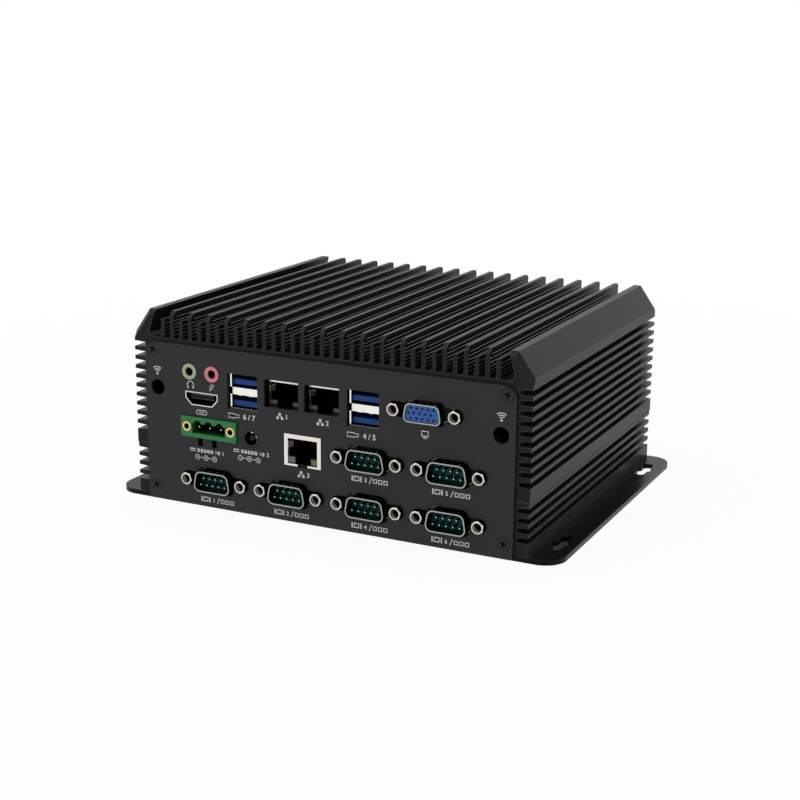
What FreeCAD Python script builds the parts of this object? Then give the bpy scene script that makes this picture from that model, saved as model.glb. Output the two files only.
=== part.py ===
import FreeCAD, Part
import math
import os
import Sketcher

# Fanless industrial computer: a finned aluminium housing on a mounting plate,
# closed by two end panels, with the connectors on the front and the boards inside.
# Frame: millimetres, +Z up, the front panel faces -Y, X = 0 is the middle of the
# housing, Y = 0 its mid depth and Z = 0 the underside of the mounting plate.

Vector = FreeCAD.Vector
doc = FreeCAD.newDocument("fanless_computer")
sheet = doc.addObject("Spreadsheet::Sheet", "sizes")

SIZES = [
    # housing
    ("housing_width", 171.6, "across the side fins"),
    ("housing_depth", 145.2, "length of both extrusions"),
    ("overall_height", 78.7, "underside of the plate to the fin tops"),
    ("seam_height", 23.0, "where the upper extrusion meets the lower one"),
    ("side_wall", 2.6, "solid wall behind the side grooves"),
    ("lower_inset", 0.3, "lower extrusion set in from the upper one, each side"),
    ("floor_thickness", 2.6, "floor of the lower extrusion"),
    ("roof_thickness", 6.0, "solid roof under the fins"),
    ("screw_gusset", 7.0, "inside corners that hold the panel screws"),
    # top fins
    ("fin_height", 10.9, "tall fins above the gaps between them"),
    ("tall_fin_count", 17, "tall fins"),
    ("tall_fin", 1.55, "tall fin thickness"),
    ("short_fin", 1.5, "short fin thickness"),
    ("short_fin_drop", 3.4, "short fins below the tall ones"),
    ("fin_margin", 13.8, "housing side to the middle of the outermost short fin"),
    ("end_chamfer", 1.7, "bevel on the front ends of fins and wings"),
    ("rear_round", 1.4, "rounding on the rear ends of fins and wings"),
    # wings along the two top edges
    ("wing_slope_run", 6.7, "sideways run of the sloping face"),
    ("wing_slope_rise", 9.5, "height of the sloping face"),
    ("wing_top", 3.0, "flat on top of the wing"),
    ("wing_root", 7.2, "wing thickness at its foot"),
    ("wing_foot_rise", 1.3, "bevel between wing and trough"),
    ("wing_face", 3.8, "upright face above the first side groove"),
    # side grooves
    ("groove_depth", 5.3, "depth of the side grooves"),
    ("groove_mouth", 2.45, "groove height at the mouth"),
    ("groove_root", 1.65, "groove height at the root"),
    ("upper_groove_count", 10, "grooves in the upper extrusion, each side"),
    ("lower_groove_count", 4, "grooves in the lower extrusion, each side"),
    ("upper_band", 5.4, "plain band above the seam"),
    ("lower_band", 2.0, "plain band below the seam"),
    ("foot_band", 5.1, "plain wall above the mounting plate"),
    ("seam_chamfer", 0.35, "relief that draws the seam line"),
    # mounting plate
    ("plate_thickness", 2.0, "mounting plate"),
    ("ear_width", 11.5, "plate beyond the housing, each side"),
    ("plate_corner", 9.0, "corner radius of the plate"),
    ("keyhole_offset", 4.9, "housing side to the slot line"),
    ("keyhole_end", 20.7, "middle of a keyhole to the end of the plate"),
    ("slot_width", 4.1, "narrow part of a keyhole"),
    ("slot_length", 16.6, "keyhole end to end"),
    ("keyhole_bore", 7.0, "round middle of a keyhole"),
    # end panels
    ("panel_thickness", 1.35, "front and rear sheet"),
    ("panel_margin", 5.9, "housing side to panel edge"),
    ("panel_lift", 0.5, "panel edge above the underside"),
    ("panel_drop", 1.65, "panel edge below the troughs"),
    ("panel_corner", 4.5, "upper corners"),
    ("panel_foot_corner", 1.4, "lower corners"),
    ("panel_screw_inset", 3.5, "screw to panel side"),
    ("panel_screw_top", 3.25, "upper screws below the panel edge"),
    ("panel_screw_foot", 5.8, "lower screws above the panel edge"),
    ("antenna_inset", 11.5, "antenna hole to the side of the housing"),
    ("antenna_z", 47.6, "antenna hole height"),
    ("antenna_bore", 6.4, "antenna hole"),
    # screws
    ("screw_head", 5.6, "countersunk head"),
    ("screw_shank", 2.9, "thread"),
    ("screw_fit", 0.1, "clearance round a screw, each side"),
    ("screw_grip", 7.0, "thread beyond the panel"),
    ("plate_screw_grip", 4.3, "thread beyond the mounting plate"),
    ("plate_screw_inset", 10.8, "plate screws from the housing side"),
    ("plate_screw_end", 22.6, "plate screws to the end of the plate"),
    # boards
    ("board_thickness", 1.6, "both circuit boards"),
    ("board_gap", 5.9, "board edge to the inside of the wall"),
    ("board_setback", 4.4, "board edge behind the panel face"),
    ("io_board_length", 58.0, "lower board"),
    ("io_board_lift", 18.9, "top of the lower board above the housing floor"),
    ("main_board_rear", 5.5, "rear edge of the upper board inside the rear panel face"),
    ("board_spacing", 18.5, "top of the lower board to the top of the upper one"),
    ("standoff_gap", 3.4, "middle of a board support to the corner gusset"),
    ("standoff_front", 15.0, "first supports behind the panel face"),
    ("standoff_middle", 55.0, "second supports behind the panel face"),
    ("standoff_rear_inset", 10.4, "last supports from the rear edge of the upper board"),
    ("standoff_flats", 5.5, "across the flats of a support"),
    ("standoff_stud_length", 5.0, "stud of an upper support"),
    ("standoff_bore_depth", 8.0, "thread in the top of a support"),
    ("board_hole", 3.3, "holes in both boards"),
    ("board_screw_head", 5.4, "pan head on the upper board"),
    ("board_screw_rise", 2.0, "pan head height"),
    ("board_screw_grip", 5.0, "thread under the head"),
    # D-sub connectors
    ("dsub_span", 24.99, "jackscrew to jackscrew"),
    ("dsub_setback", 3.0, "flange behind the panel face"),
    ("dsub_flange_width", 30.8, "flange"),
    ("dsub_flange_height", 12.5, "flange"),
    ("dsub_flange", 0.8, "flange thickness"),
    ("dsub_reach", 5.9, "shell in front of its flange"),
    ("dsub_skin", 0.5, "shell thickness"),
    ("dsub_clearance", 1.1, "panel opening round the shell"),
    ("dsub_body_width", 19.0, "moulding behind the flange"),
    ("dsub_body_height", 10.8, "moulding behind the flange"),
    ("dsub_body_depth", 9.0, "moulding behind the flange"),
    ("jack_flats", 4.75, "jackscrew across flats"),
    ("jack_length", 5.0, "jackscrew in front of the flange"),
    ("jack_bore", 2.8, "thread inside the jackscrew"),
    ("jack_bore_depth", 4.4, "thread inside the jackscrew"),
    ("jack_clearance", 0.6, "panel opening round the jackscrew flats"),
    ("com_wide", 17.4, "serial shell, lower edge"),
    ("com_narrow", 14.4, "serial shell, upper edge"),
    ("com_tall", 8.5, "serial shell"),
    ("com_corner", 2.6, "serial shell corners"),
    ("com_face", 1.0, "insulator in front of the flange"),
    ("com_pin", 1.0, "pin diameter"),
    ("com_pin_pitch", 2.76, "pins in a row"),
    ("com_row", 1.42, "pin rows from the middle"),
    ("com_pin_short", 0.9, "pin tips behind the shell rim"),
    ("com_1_x", -48.2, "first serial column"),
    ("com_2_x", -14.1, "second serial column"),
    ("com_3_x", 20.15, "third serial column, two high"),
    ("com_5_x", 54.0, "fourth serial column, two high"),
    ("com_low_gap", 0.75, "lower serial flanges above the housing floor"),
    ("com_high_gap", 0.6, "upper serial flanges above the lower board"),
    ("vga_x", 43.9, "display connector"),
    ("vga_gap", 3.9, "flange above the upper board"),
    ("vga_wide", 15.9, "display shell, lower edge"),
    ("vga_narrow", 13.3, "display shell, upper edge"),
    ("vga_tall", 7.4, "display shell"),
    ("vga_corner", 2.1, "display shell corners"),
    ("vga_rim", 0.5, "socket face behind the shell rim"),
    ("vga_hole", 1.05, "contact hole"),
    ("vga_pitch", 2.29, "contact holes in a row"),
    ("vga_row", 1.96, "row to row"),
    ("vga_hole_depth", 4.0, "contact hole"),
    # stacked serial-bus sockets
    ("usb_left_x", -34.8, "left double socket"),
    ("usb_right_x", 18.1, "right double socket"),
    ("usb_setback", 2.0, "shell behind the panel face"),
    ("usb_width", 14.2, "shell"),
    ("usb_height", 15.6, "shell"),
    ("usb_depth", 17.0, "shell"),
    ("usb_port_width", 12.6, "each opening"),
    ("usb_port_height", 5.1, "each opening"),
    ("usb_port_low", 1.0, "lower opening above the board"),
    ("usb_port_high", 9.7, "upper opening above the board"),
    ("usb_cavity", 11.0, "depth of each opening"),
    ("usb_tongue_width", 11.2, "tongue"),
    ("usb_tongue", 2.0, "tongue thickness"),
    ("usb_tongue_lift", 0.8, "tongue above the floor of its opening"),
    ("usb_tongue_setback", 0.9, "tongue behind the shell"),
    ("usb_window_width", 13.75, "panel opening"),
    ("usb_window_height", 14.4, "panel opening"),
    ("usb_window_lift", 7.9, "middle of the panel opening above the board"),
    # network sockets
    ("lan_1_x", -17.3, "first network socket"),
    ("lan_2_x", 0.45, "second network socket"),
    ("lan_3_x", -8.0, "third network socket"),
    ("lan_width", 16.2, "shield"),
    ("lan_height", 12.7, "shield"),
    ("lan_riser", 2.4, "upper sockets stand above their board"),
    ("lan_depth", 21.0, "shield"),
    ("lan_setback", 2.6, "upper shields behind the panel face"),
    ("lan_side", 1.6, "shield frame at the sides"),
    ("lan_top", 1.7, "shield frame at the top"),
    ("lan_foot", 0.8, "shield frame at the bottom"),
    ("lan_skin", 0.3, "shield wall"),
    ("lan_fit", 0.1, "moulding inside the shield"),
    ("lan_frame", 0.6, "shield frame thickness"),
    ("lan_cavity", 13.5, "depth of the plug space"),
    ("lan_plug_width", 12.0, "plug space"),
    ("lan_plug_height", 7.2, "plug space"),
    ("lan_key_width", 6.4, "latch space"),
    ("lan_latch_width", 4.4, "notch in the frame"),
    ("lan_light_width", 2.9, "light window"),
    ("lan_light_height", 2.3, "light window"),
    ("lan_light_depth", 3.0, "light window"),
    ("lan_light_lift", 1.2, "light window above the foot of the shield"),
    ("lan_window_width", 15.2, "panel opening of the upper sockets"),
    ("lan_window_height", 11.1, "panel opening of the upper sockets"),
    ("lan_window_lift", 6.8, "middle of the panel opening above the shield's foot"),
    ("socket_gap", 0.3, "panel opening round a flush connector"),
    # display socket below the sound jacks
    ("hdmi_x", -53.7, "flat display socket"),
    ("hdmi_width", 15.2, "shell"),
    ("hdmi_foot_width", 9.8, "shell, lower edge"),
    ("hdmi_height", 5.65, "shell"),
    ("hdmi_shoulder", 2.8, "shell, upright sides"),
    ("hdmi_depth", 12.0, "shell"),
    ("hdmi_skin", 0.5, "shell"),
    ("hdmi_tongue_width", 11.0, "tongue"),
    ("hdmi_tongue", 1.5, "tongue"),
    ("hdmi_tongue_drop", 0.9, "tongue below the top of the opening"),
    ("hdmi_lift", 0.1, "shell above the board"),
    # sound jacks
    ("line_out_x", -59.0, "sound output"),
    ("microphone_x", -48.6, "sound input"),
    ("jack_lift", 13.75, "sound jacks above the upper board"),
    ("jack_ring", 6.4, "collar"),
    ("jack_socket", 3.6, "plug hole"),
    ("jack_socket_depth", 13.0, "plug hole"),
    ("jack_block", 10.0, "moulding behind the panel"),
    ("jack_block_depth", 18.0, "moulding behind the panel"),
    ("jack_leg", 6.0, "leg of the moulding, down to the board"),
    ("jack_proud", 0.4, "collar in front of the panel"),
    # power inlets
    ("terminal_x", -50.4, "terminal header"),
    ("terminal_gap", 2.9, "top of the header below the upper board"),
    ("terminal_width", 25.6, "terminal header"),
    ("terminal_height", 8.4, "terminal header"),
    ("terminal_proud", 0.8, "header in front of the panel"),
    ("terminal_depth", 12.0, "header front to back"),
    ("terminal_cavity_width", 15.6, "plug space"),
    ("terminal_cavity_low", 2.5, "plug space below the middle"),
    ("terminal_cavity_high", 1.6, "plug space above the middle, before the lobes"),
    ("terminal_cavity", 8.6, "plug space depth"),
    ("terminal_lobe", 1.85, "radius of each lobe"),
    ("terminal_pitch", 5.08, "contact spacing"),
    ("terminal_pin", 1.0, "square contact"),
    ("terminal_nut_span", 20.32, "nut to nut"),
    ("terminal_nut", 4.0, "captive nut"),
    ("terminal_nut_bore", 2.5, "thread in the nut"),
    ("terminal_nut_depth", 6.0, "captive nut"),
    ("terminal_pin_setback", 1.5, "contact tips behind the header face"),
    ("terminal_leg", 4.0, "leg of the header, down to the board"),
    ("key_slot_width", 2.3, "keying slots under the header"),
    ("key_slot_height", 3.3, "keying slots under the header"),
    ("key_slot_left", -4.3, "left slot from the header middle"),
    ("key_slot_right", 2.25, "right slot from the header middle"),
    ("dc_x", -31.2, "round power inlet"),
    ("dc_lift", 8.35, "round power inlet above the lower board"),
    ("dc_barrel", 6.9, "barrel"),
    ("dc_bore", 5.7, "barrel bore"),
    ("dc_bore_depth", 9.5, "barrel bore"),
    ("dc_block", 9.2, "moulding behind the panel"),
    ("dc_block_depth", 13.0, "moulding behind the panel"),
    ("dc_pin", 2.1, "centre contact"),
    ("dc_pin_setback", 1.2, "centre contact behind the barrel rim"),
    # push button and lights in the rear panel
    ("button_x", 52.0, "push button"),
    ("button_lift", 9.5, "push button above the upper board"),
    ("button_bezel", 14.0, "collar"),
    ("button_bezel_rise", 1.6, "collar"),
    ("button_body", 12.0, "threaded barrel"),
    ("button_body_length", 16.0, "threaded barrel"),
    ("button_cap", 8.4, "moving cap"),
    ("button_cap_length", 4.0, "moving cap"),
    ("button_stem", 3.6, "stem under the cap"),
    ("button_stem_length", 6.0, "stem under the cap"),
    ("button_gap", 0.3, "cap and stem to their bores"),
    ("button_proud", 0.9, "cap in front of the collar"),
    ("button_travel", 1.2, "travel of the cap"),
    ("button_nut", 15.0, "nut across flats"),
    ("button_nut_height", 2.2, "nut"),
    ("light_x", 34.0, "first status light"),
    ("light_pitch", 7.0, "light to light"),
    ("light_bore", 3.0, "light"),
    ("light_rise", 0.5, "light in front of the panel"),
    ("light_length", 5.0, "light behind the panel"),
    # parts on the boards
    ("chip_y", 8.0, "processor middle"),
    ("chip_width", 34.0, "processor carrier"),
    ("chip_length", 28.0, "processor carrier"),
    ("chip_height", 1.4, "processor carrier"),
    ("die_width", 20.0, "processor lid"),
    ("die_length", 16.0, "processor lid"),
    ("die_height", 0.8, "processor lid"),
    ("pad_height", 0.5, "thermal pad"),
    ("heat_block", 44.0, "heat transfer block"),
    ("memory_x", -28.0, "memory module middle"),
    ("memory_y", -34.0, "memory module middle"),
    ("memory_width", 67.6, "memory module"),
    ("memory_length", 30.0, "memory module"),
    ("memory_board", 1.2, "memory module"),
    ("memory_lift", 2.4, "memory module above the board"),
    ("memory_seat", 4.0, "module held in its socket"),
    ("memory_socket_width", 71.0, "memory socket"),
    ("memory_socket_length", 6.5, "memory socket"),
    ("memory_socket_height", 5.2, "memory socket"),
    ("memory_slot_gap", 0.05, "module in its socket"),
    ("memory_chip", 11.0, "memory chip"),
    ("memory_chip_height", 1.0, "memory chip"),
    ("drive_width", 69.85, "storage drive"),
    ("drive_length", 100.0, "storage drive"),
    ("drive_height", 7.0, "storage drive"),
    ("drive_y", 14.0, "storage drive middle"),
    ("link_x", 50.0, "board to board connector"),
    ("link_y", -35.0, "board to board connector"),
    ("link_width", 5.0, "board to board connector"),
    ("link_length", 30.0, "board to board connector"),
]


class Size:
    """A number together with the spreadsheet formula that gives it."""

    def __init__(self, number, formula):
        self.number = number
        self.formula = formula

    def __add__(self, other):
        other = as_size(other)
        return Size(self.number + other.number, f"({self.formula} + {other.formula})")

    def __sub__(self, other):
        other = as_size(other)
        return Size(self.number - other.number, f"({self.formula} - {other.formula})")

    def __mul__(self, other):
        other = as_size(other)
        return Size(self.number * other.number, f"({self.formula} * {other.formula})")

    def __truediv__(self, other):
        other = as_size(other)
        return Size(self.number / other.number, f"({self.formula} / {other.formula})")

    def __radd__(self, other):
        return as_size(other) + self

    def __rsub__(self, other):
        return as_size(other) - self

    def __rmul__(self, other):
        return as_size(other) * self

    def __neg__(self):
        return Size(-self.number, f"(-{self.formula})")


def as_size(item):
    if isinstance(item, Size):
        return item
    return Size(float(item), f"({float(item)})")


class Sizes:
    """The named sizes, each readable as an attribute."""


S = Sizes()
for row, (alias, number, meaning) in enumerate(SIZES, start=1):
    sheet.set(f"A{row}", alias)
    sheet.set(f"B{row}", str(number))
    sheet.set(f"C{row}", meaning)
    sheet.setAlias(f"B{row}", alias)
    setattr(S, alias, Size(float(number), f"sizes.{alias}"))
doc.recompute()

nodes = []


def bind(thing, prop, size):
    """Tie a property to the spreadsheet."""
    thing.setExpression(prop, as_size(size).formula)


def node(label, thing):
    """Name a finished sub-part; the label is also its file name."""
    thing.Label = label
    nodes.append(thing)
    return thing


# ---------------------------------------------------------------- primitives

def block(name, x, y, z):
    """A box from its low and high limits along each axis."""
    solid = doc.addObject("Part::Box", name)
    for edge, axis, (low, high) in zip(("Length", "Width", "Height"), "xyz", (x, y, z)):
        bind(solid, edge, as_size(high) - low)
        bind(solid, f"Placement.Base.{axis}", low)
    return solid


def along_y(solid, x, y, z):
    """Turn a solid that was made along +Z to point along +Y, standing at x, y, z."""
    solid.Placement = FreeCAD.Placement(Vector(), FreeCAD.Rotation(Vector(1, 0, 0), -90))
    for axis, place in zip("xyz", (x, y, z)):
        bind(solid, f"Placement.Base.{axis}", place)
    return solid


def rod(name, diameter, x, y, z):
    """A cylinder along Y between y[0] and y[1]."""
    solid = doc.addObject("Part::Cylinder", name)
    bind(solid, "Radius", as_size(diameter) / 2)
    bind(solid, "Height", as_size(y[1]) - y[0])
    return along_y(solid, x, y[0], z)


def post(name, diameter, x, y, z):
    """A cylinder along Z between z[0] and z[1]."""
    solid = doc.addObject("Part::Cylinder", name)
    bind(solid, "Radius", as_size(diameter) / 2)
    bind(solid, "Height", as_size(z[1]) - z[0])
    for axis, place in zip("xyz", (x, y, z[0])):
        bind(solid, f"Placement.Base.{axis}", place)
    return solid


def pin(name, diameter, x, y, z):
    """A thin round feature along Y, drawn with eight sides."""
    solid = doc.addObject("Part::Prism", name)
    solid.Polygon = 8
    bind(solid, "Circumradius", as_size(diameter) / 2)
    bind(solid, "Height", as_size(y[1]) - y[0])
    return along_y(solid, x, y[0], z)


def thread(name, diameter, x, y, z):
    """A hidden screw thread or its hole along Z, drawn with eight sides."""
    solid = doc.addObject("Part::Prism", name)
    solid.Polygon = 8
    bind(solid, "Circumradius", as_size(diameter) / 2)
    bind(solid, "Height", as_size(z[1]) - z[0])
    for axis, place in zip("xyz", (x, y, z[0])):
        bind(solid, f"Placement.Base.{axis}", place)
    return solid


def hexagon(name, flats, height):
    """A hexagonal bar along +Z, by its size across the flats."""
    solid = doc.addObject("Part::Prism", name)
    solid.Polygon = 6
    bind(solid, "Circumradius", as_size(flats) / (2 * math.cos(math.pi / 6)))
    bind(solid, "Height", height)
    return solid


def fuse(name, solids):
    joined = doc.addObject("Part::MultiFuse", name)
    joined.Shapes = solids
    joined.Refine = True
    return joined


def group(name, solids):
    """Separate solids kept together without being joined."""
    bundle = doc.addObject("Part::Compound", name)
    bundle.Links = solids
    return bundle


def cut(name, base, tools):
    """Take the tools away from the base."""
    result = doc.addObject("Part::Cut", name)
    result.Base = base
    result.Tool = tools[0] if len(tools) == 1 else fuse(name + "_tool", tools)
    result.Refine = True
    return result


# ------------------------------------------------------- bodies from sketches

def new_body(name):
    return doc.addObject("PartDesign::Body", name)


def origin_plane(body, role):
    return [item for item in body.Origin.OriginFeatures if item.Role == role][0]


def sketch_on(body, name, role, offset, loops):
    """A sketch of closed outlines, each corner dimensioned from the origin."""
    sketch = body.newObject("Sketcher::SketchObject", name)
    sketch.AttachmentSupport = (origin_plane(body, role), [""])
    sketch.MapMode = "FlatFace"
    bind(sketch, "AttachmentOffset.Base.z", offset)
    for loop in loops:
        corners = [(as_size(across), as_size(up)) for across, up in loop]
        first = sketch.GeometryCount
        for (across, up), (next_across, next_up) in zip(corners, corners[1:] + corners[:1]):
            start = Vector(across.number, up.number, 0)
            end = Vector(next_across.number, next_up.number, 0)
            sketch.addGeometry(Part.LineSegment(start, end), False)
        for index, (across, up) in enumerate(corners):
            line = first + index
            next_line = first + (index + 1) % len(corners)
            sketch.addConstraint(Sketcher.Constraint("Coincident", line, 2, next_line, 1))
            for kind, axis, size in (("DistanceX", -2, across), ("DistanceY", -1, up)):
                if size.number == 0:
                    sketch.addConstraint(Sketcher.Constraint("PointOnObject", line, 1, axis))
                    continue
                place = Sketcher.Constraint(kind, -1, 1, line, 1, size.number)
                number = sketch.addConstraint(place)
                sketch.setExpression(f"Constraints[{number}]", size.formula)
    return sketch


def extrude(body, kind, name, sketch, length, reverse):
    feature = body.newObject(f"PartDesign::{kind}", name)
    feature.Profile = sketch
    feature.Reversed = reverse
    bind(feature, "Length", length)
    body.Tip = feature
    return feature


def pad_y(body, name, loops, y):
    """Add an outline drawn in X and Z, from y[0] to y[1]."""
    sketch = sketch_on(body, name + "_sketch", "XZ_Plane", -as_size(y[0]), loops)
    return extrude(body, "Pad", name, sketch, as_size(y[1]) - y[0], True)


def pocket_y(body, name, loops, y):
    """Cut an outline drawn in X and Z, from y[0] to y[1]."""
    sketch = sketch_on(body, name + "_sketch", "XZ_Plane", -as_size(y[0]), loops)
    return extrude(body, "Pocket", name, sketch, as_size(y[1]) - y[0], False)


def repeat(body, name, feature, axis, span, count):
    """Repeat a pocket in a row, evenly over the span."""
    pattern = body.newObject("PartDesign::LinearPattern", name)
    pattern.Originals = [feature]
    pattern.Direction = (feature.Profile[0], [axis])
    bind(pattern, "Length", span)
    bind(pattern, "Occurrences", count)
    body.Tip = pattern
    return pattern


def edges_where(feature, test):
    """Names of the edges whose two ends both pass the test."""
    names = []
    for index, edge in enumerate(feature.Shape.Edges, start=1):
        if all(test(vertex.Point) for vertex in edge.Vertexes):
            names.append(f"Edge{index}")
    return names


def edges_along_y(feature, test):
    """Names of the edges parallel to Y whose two ends both pass the test."""
    names = []
    for name in edges_where(feature, test):
        first, last = (vertex.Point for vertex in feature.Shape.getElement(name).Vertexes)
        if abs(first.y - last.y) > (last - first).Length - 1e-4:
            names.append(name)
    return names


def dress(body, kind, name, feature, size, test, pick=edges_where):
    """Fillet or chamfer the edges that pass the test."""
    doc.recompute()
    finish = body.newObject(f"PartDesign::{kind}", name)
    finish.Base = (feature, pick(feature, test))
    bind(finish, "Radius" if kind == "Fillet" else "Size", size)
    body.Tip = finish
    return finish


def near(first, second):
    return abs(first - as_size(second).number) < 1e-4


# ------------------------------------------------------------ shared levels

side = S.housing_width / 2                      # housing half width
end = S.housing_depth / 2                       # housing half depth
face = -end - S.panel_thickness                 # outer face of the front panel
back_face = end + S.panel_thickness             # outer face of the rear panel
inner_side = side - S.groove_depth - S.side_wall
fin_foot = S.overall_height - S.fin_height      # bottom of the gaps between the fins
short_top = S.overall_height - S.short_fin_drop
roof = fin_foot - S.roof_thickness
floor = S.plate_thickness + S.floor_thickness
shoulder = S.overall_height - S.wing_slope_rise
panel_side = side - S.panel_margin
panel_top = fin_foot - S.panel_drop
antenna_across = side - S.antenna_inset
board_half = inner_side - S.board_gap
board_front = face + S.board_setback
board_rear = back_face - S.main_board_rear
standoff_across = inner_side - S.screw_gusset - S.standoff_gap
io_top = floor + S.io_board_lift                # top face of the lower board
io_board_under = io_top - S.board_thickness
main_top = io_top + S.board_spacing             # top face of the upper board
main_board_under = main_top - S.board_thickness
com_low = floor + S.com_low_gap + S.dsub_flange_height / 2
com_high = io_top + S.com_high_gap + S.dsub_flange_height / 2
vga_middle = main_top + S.vga_gap + S.dsub_flange_height / 2
usb_window_middle = main_top + S.usb_window_lift
lan_window_middle = main_top + S.lan_riser + S.lan_window_lift
jack_middle = main_top + S.jack_lift
terminal_middle = main_board_under - S.terminal_gap - S.terminal_height / 2
dc_middle = io_top + S.dc_lift
button_middle = main_top + S.button_lift
clear = as_size(1)                              # how far a cutter runs past a surface


# ----------------------------------------------------------- the two housings

def groove_pair(height, outer):
    """Outlines of one tapered groove on each side."""
    loops = []
    for way in (1, -1):
        mouth = S.groove_mouth / 2
        root = S.groove_root / 2
        loops.append([
            (way * (outer + clear), height - mouth),
            (way * (side - S.groove_depth), height - root),
            (way * (side - S.groove_depth), height + root),
            (way * (outer + clear), height + mouth),
        ])
    return loops


def top_housing():
    body = new_body("top_housing_body")
    top_side = side - S.wing_slope_run
    outline = [
        (-side, S.seam_height), (-side, shoulder), (-top_side, S.overall_height),
        (top_side, S.overall_height), (side, shoulder), (side, S.seam_height),
        (inner_side, S.seam_height), (inner_side, roof - S.screw_gusset),
        (inner_side - S.screw_gusset, roof), (S.screw_gusset - inner_side, roof),
        (-inner_side, roof - S.screw_gusset), (-inner_side, S.seam_height),
    ]
    stock = pad_y(body, "top_stock", [outline], (-end, end))

    def on_end(limit):
        def test(point):
            return near(point.y, limit) and point.z > shoulder.number - 1e-4
        return test

    bevel = dress(body, "Chamfer", "front_bevel", stock, S.end_chamfer, on_end(-end))
    dress(body, "Fillet", "rear_rounding", bevel, S.rear_round, on_end(end))

    run = (-end - clear, end + clear)
    first = S.seam_height + S.upper_band + S.groove_mouth / 2
    last = shoulder - S.wing_face - S.groove_mouth / 2
    groove = pocket_y(body, "upper_groove", groove_pair(first, side), run)
    repeat(body, "upper_grooves", groove, "V_Axis", last - first, S.upper_groove_count)

    pitch = (S.housing_width - 2 * S.fin_margin) / S.tall_fin_count
    first_tall = pitch / 2 + S.fin_margin - side
    tall_edge = S.tall_fin / 2
    short_edge = (pitch - S.short_fin) / 2
    above = S.overall_height + clear
    troughs = []
    for way in (-1, 1):
        troughs.append([
            (first_tall + way * tall_edge, fin_foot),
            (first_tall + way * tall_edge, above),
            (first_tall + way * short_edge, above),
            (first_tall + way * short_edge, fin_foot),
        ])
    trough = pocket_y(body, "trough", troughs, run)
    repeat(body, "troughs", trough, "H_Axis", pitch * (S.tall_fin_count - 1), S.tall_fin_count)

    over_short = pocket_y(body, "over_short_fin", [[
        (first_tall + tall_edge, short_top),
        (first_tall + tall_edge, above),
        (first_tall + pitch - tall_edge, above),
        (first_tall + pitch - tall_edge, short_top),
    ]], run)
    repeat(body, "over_short_fins", over_short, "H_Axis",
           pitch * (S.tall_fin_count - 2), S.tall_fin_count - 1)

    outer_short = side - S.fin_margin + S.short_fin / 2
    last_tall = side - S.fin_margin - pitch / 2 + tall_edge
    wing_inner = side - S.wing_slope_run - S.wing_top
    wing_foot = side - S.wing_root
    slope = (wing_foot - wing_inner) / (S.overall_height - fin_foot - S.wing_foot_rise)
    gaps = []
    for way in (-1, 1):
        gaps.append([
            (way * outer_short, fin_foot),
            (way * (wing_foot - S.wing_foot_rise), fin_foot),
            (way * wing_foot, fin_foot + S.wing_foot_rise),
            (way * (wing_inner - slope * clear), above),
            (way * last_tall, above),
            (way * last_tall, short_top),
            (way * outer_short, short_top),
        ])
    pocket_y(body, "wing_gaps", gaps, run)
    return body


def lower_housing():
    body = new_body("lower_housing_body")
    outer = side - S.lower_inset
    outline = [
        (-outer, S.plate_thickness), (outer, S.plate_thickness), (outer, S.seam_height),
        (inner_side, S.seam_height), (inner_side, floor + S.screw_gusset),
        (inner_side - S.screw_gusset, floor), (S.screw_gusset - inner_side, floor),
        (-inner_side, floor + S.screw_gusset), (-inner_side, S.seam_height),
        (-outer, S.seam_height),
    ]
    stock = pad_y(body, "lower_stock", [outline], (-end, end))

    def on_seam(point):
        return near(point.z, S.seam_height) and near(abs(point.x), outer)

    dress(body, "Chamfer", "seam_line", stock, S.seam_chamfer, on_seam)
    run = (-end - clear, end + clear)
    first = S.plate_thickness + S.foot_band + S.groove_mouth / 2
    last = S.seam_height - S.lower_band - S.groove_mouth / 2
    groove = pocket_y(body, "lower_groove", groove_pair(first, outer), run)
    repeat(body, "lower_grooves", groove, "V_Axis", last - first, S.lower_groove_count)
    return body


# ------------------------------------------------------------------- screws

def panel_screw_places():
    across = panel_side - S.panel_screw_inset
    heights = (S.panel_lift + S.panel_screw_foot, panel_top - S.panel_screw_top)
    return [(way * across, height) for way in (-1, 1) for height in heights]


def end_holes():
    """Thread holes for the panel screws in both ends of the housings."""
    holes = []
    depth = S.screw_grip + clear
    for index, (x, z) in enumerate(panel_screw_places()):
        bore = S.screw_shank + 2 * S.screw_fit
        holes.append(pin(f"front_thread_{index}", bore, x, (-end - clear, depth - end), z))
        holes.append(pin(f"rear_thread_{index}", bore, x, (end - depth, end + clear), z))
    return holes


def flat_screw(name, length):
    """A countersunk screw along +Z, its head level with Z = 0."""
    head_height = (S.screw_head - S.screw_shank) / 2
    head = doc.addObject("Part::Cone", name + "_head")
    bind(head, "Radius1", S.screw_head / 2)
    bind(head, "Radius2", S.screw_shank / 2)
    bind(head, "Height", head_height)
    shank = thread(name + "_shank", S.screw_shank, 0, 0, (head_height / 2, length))
    return fuse(name, [head, shank])


def turn_to(solid, axis, angle, x, y, z):
    """Turn a finished solid about one axis and stand it at x, y, z."""
    solid.Placement = FreeCAD.Placement(Vector(), FreeCAD.Rotation(axis, angle))
    for name, place in zip("xyz", (x, y, z)):
        bind(solid, f"Placement.Base.{name}", place)
    return solid


def countersink(name):
    """The cutter for a flat screw's hole: a cone and a bore, along +Z."""
    depth = (S.screw_head - S.screw_shank) / 2
    cone = doc.addObject("Part::Cone", name + "_cone")
    bind(cone, "Radius1", S.screw_head / 2 + S.screw_fit)
    bind(cone, "Radius2", S.screw_shank / 2 + S.screw_fit)
    bind(cone, "Height", depth)
    bore = thread(name + "_bore", S.screw_shank + 2 * S.screw_fit, 0, 0, (depth / 2, 3 * clear))
    return fuse(name, [cone, bore])


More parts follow.
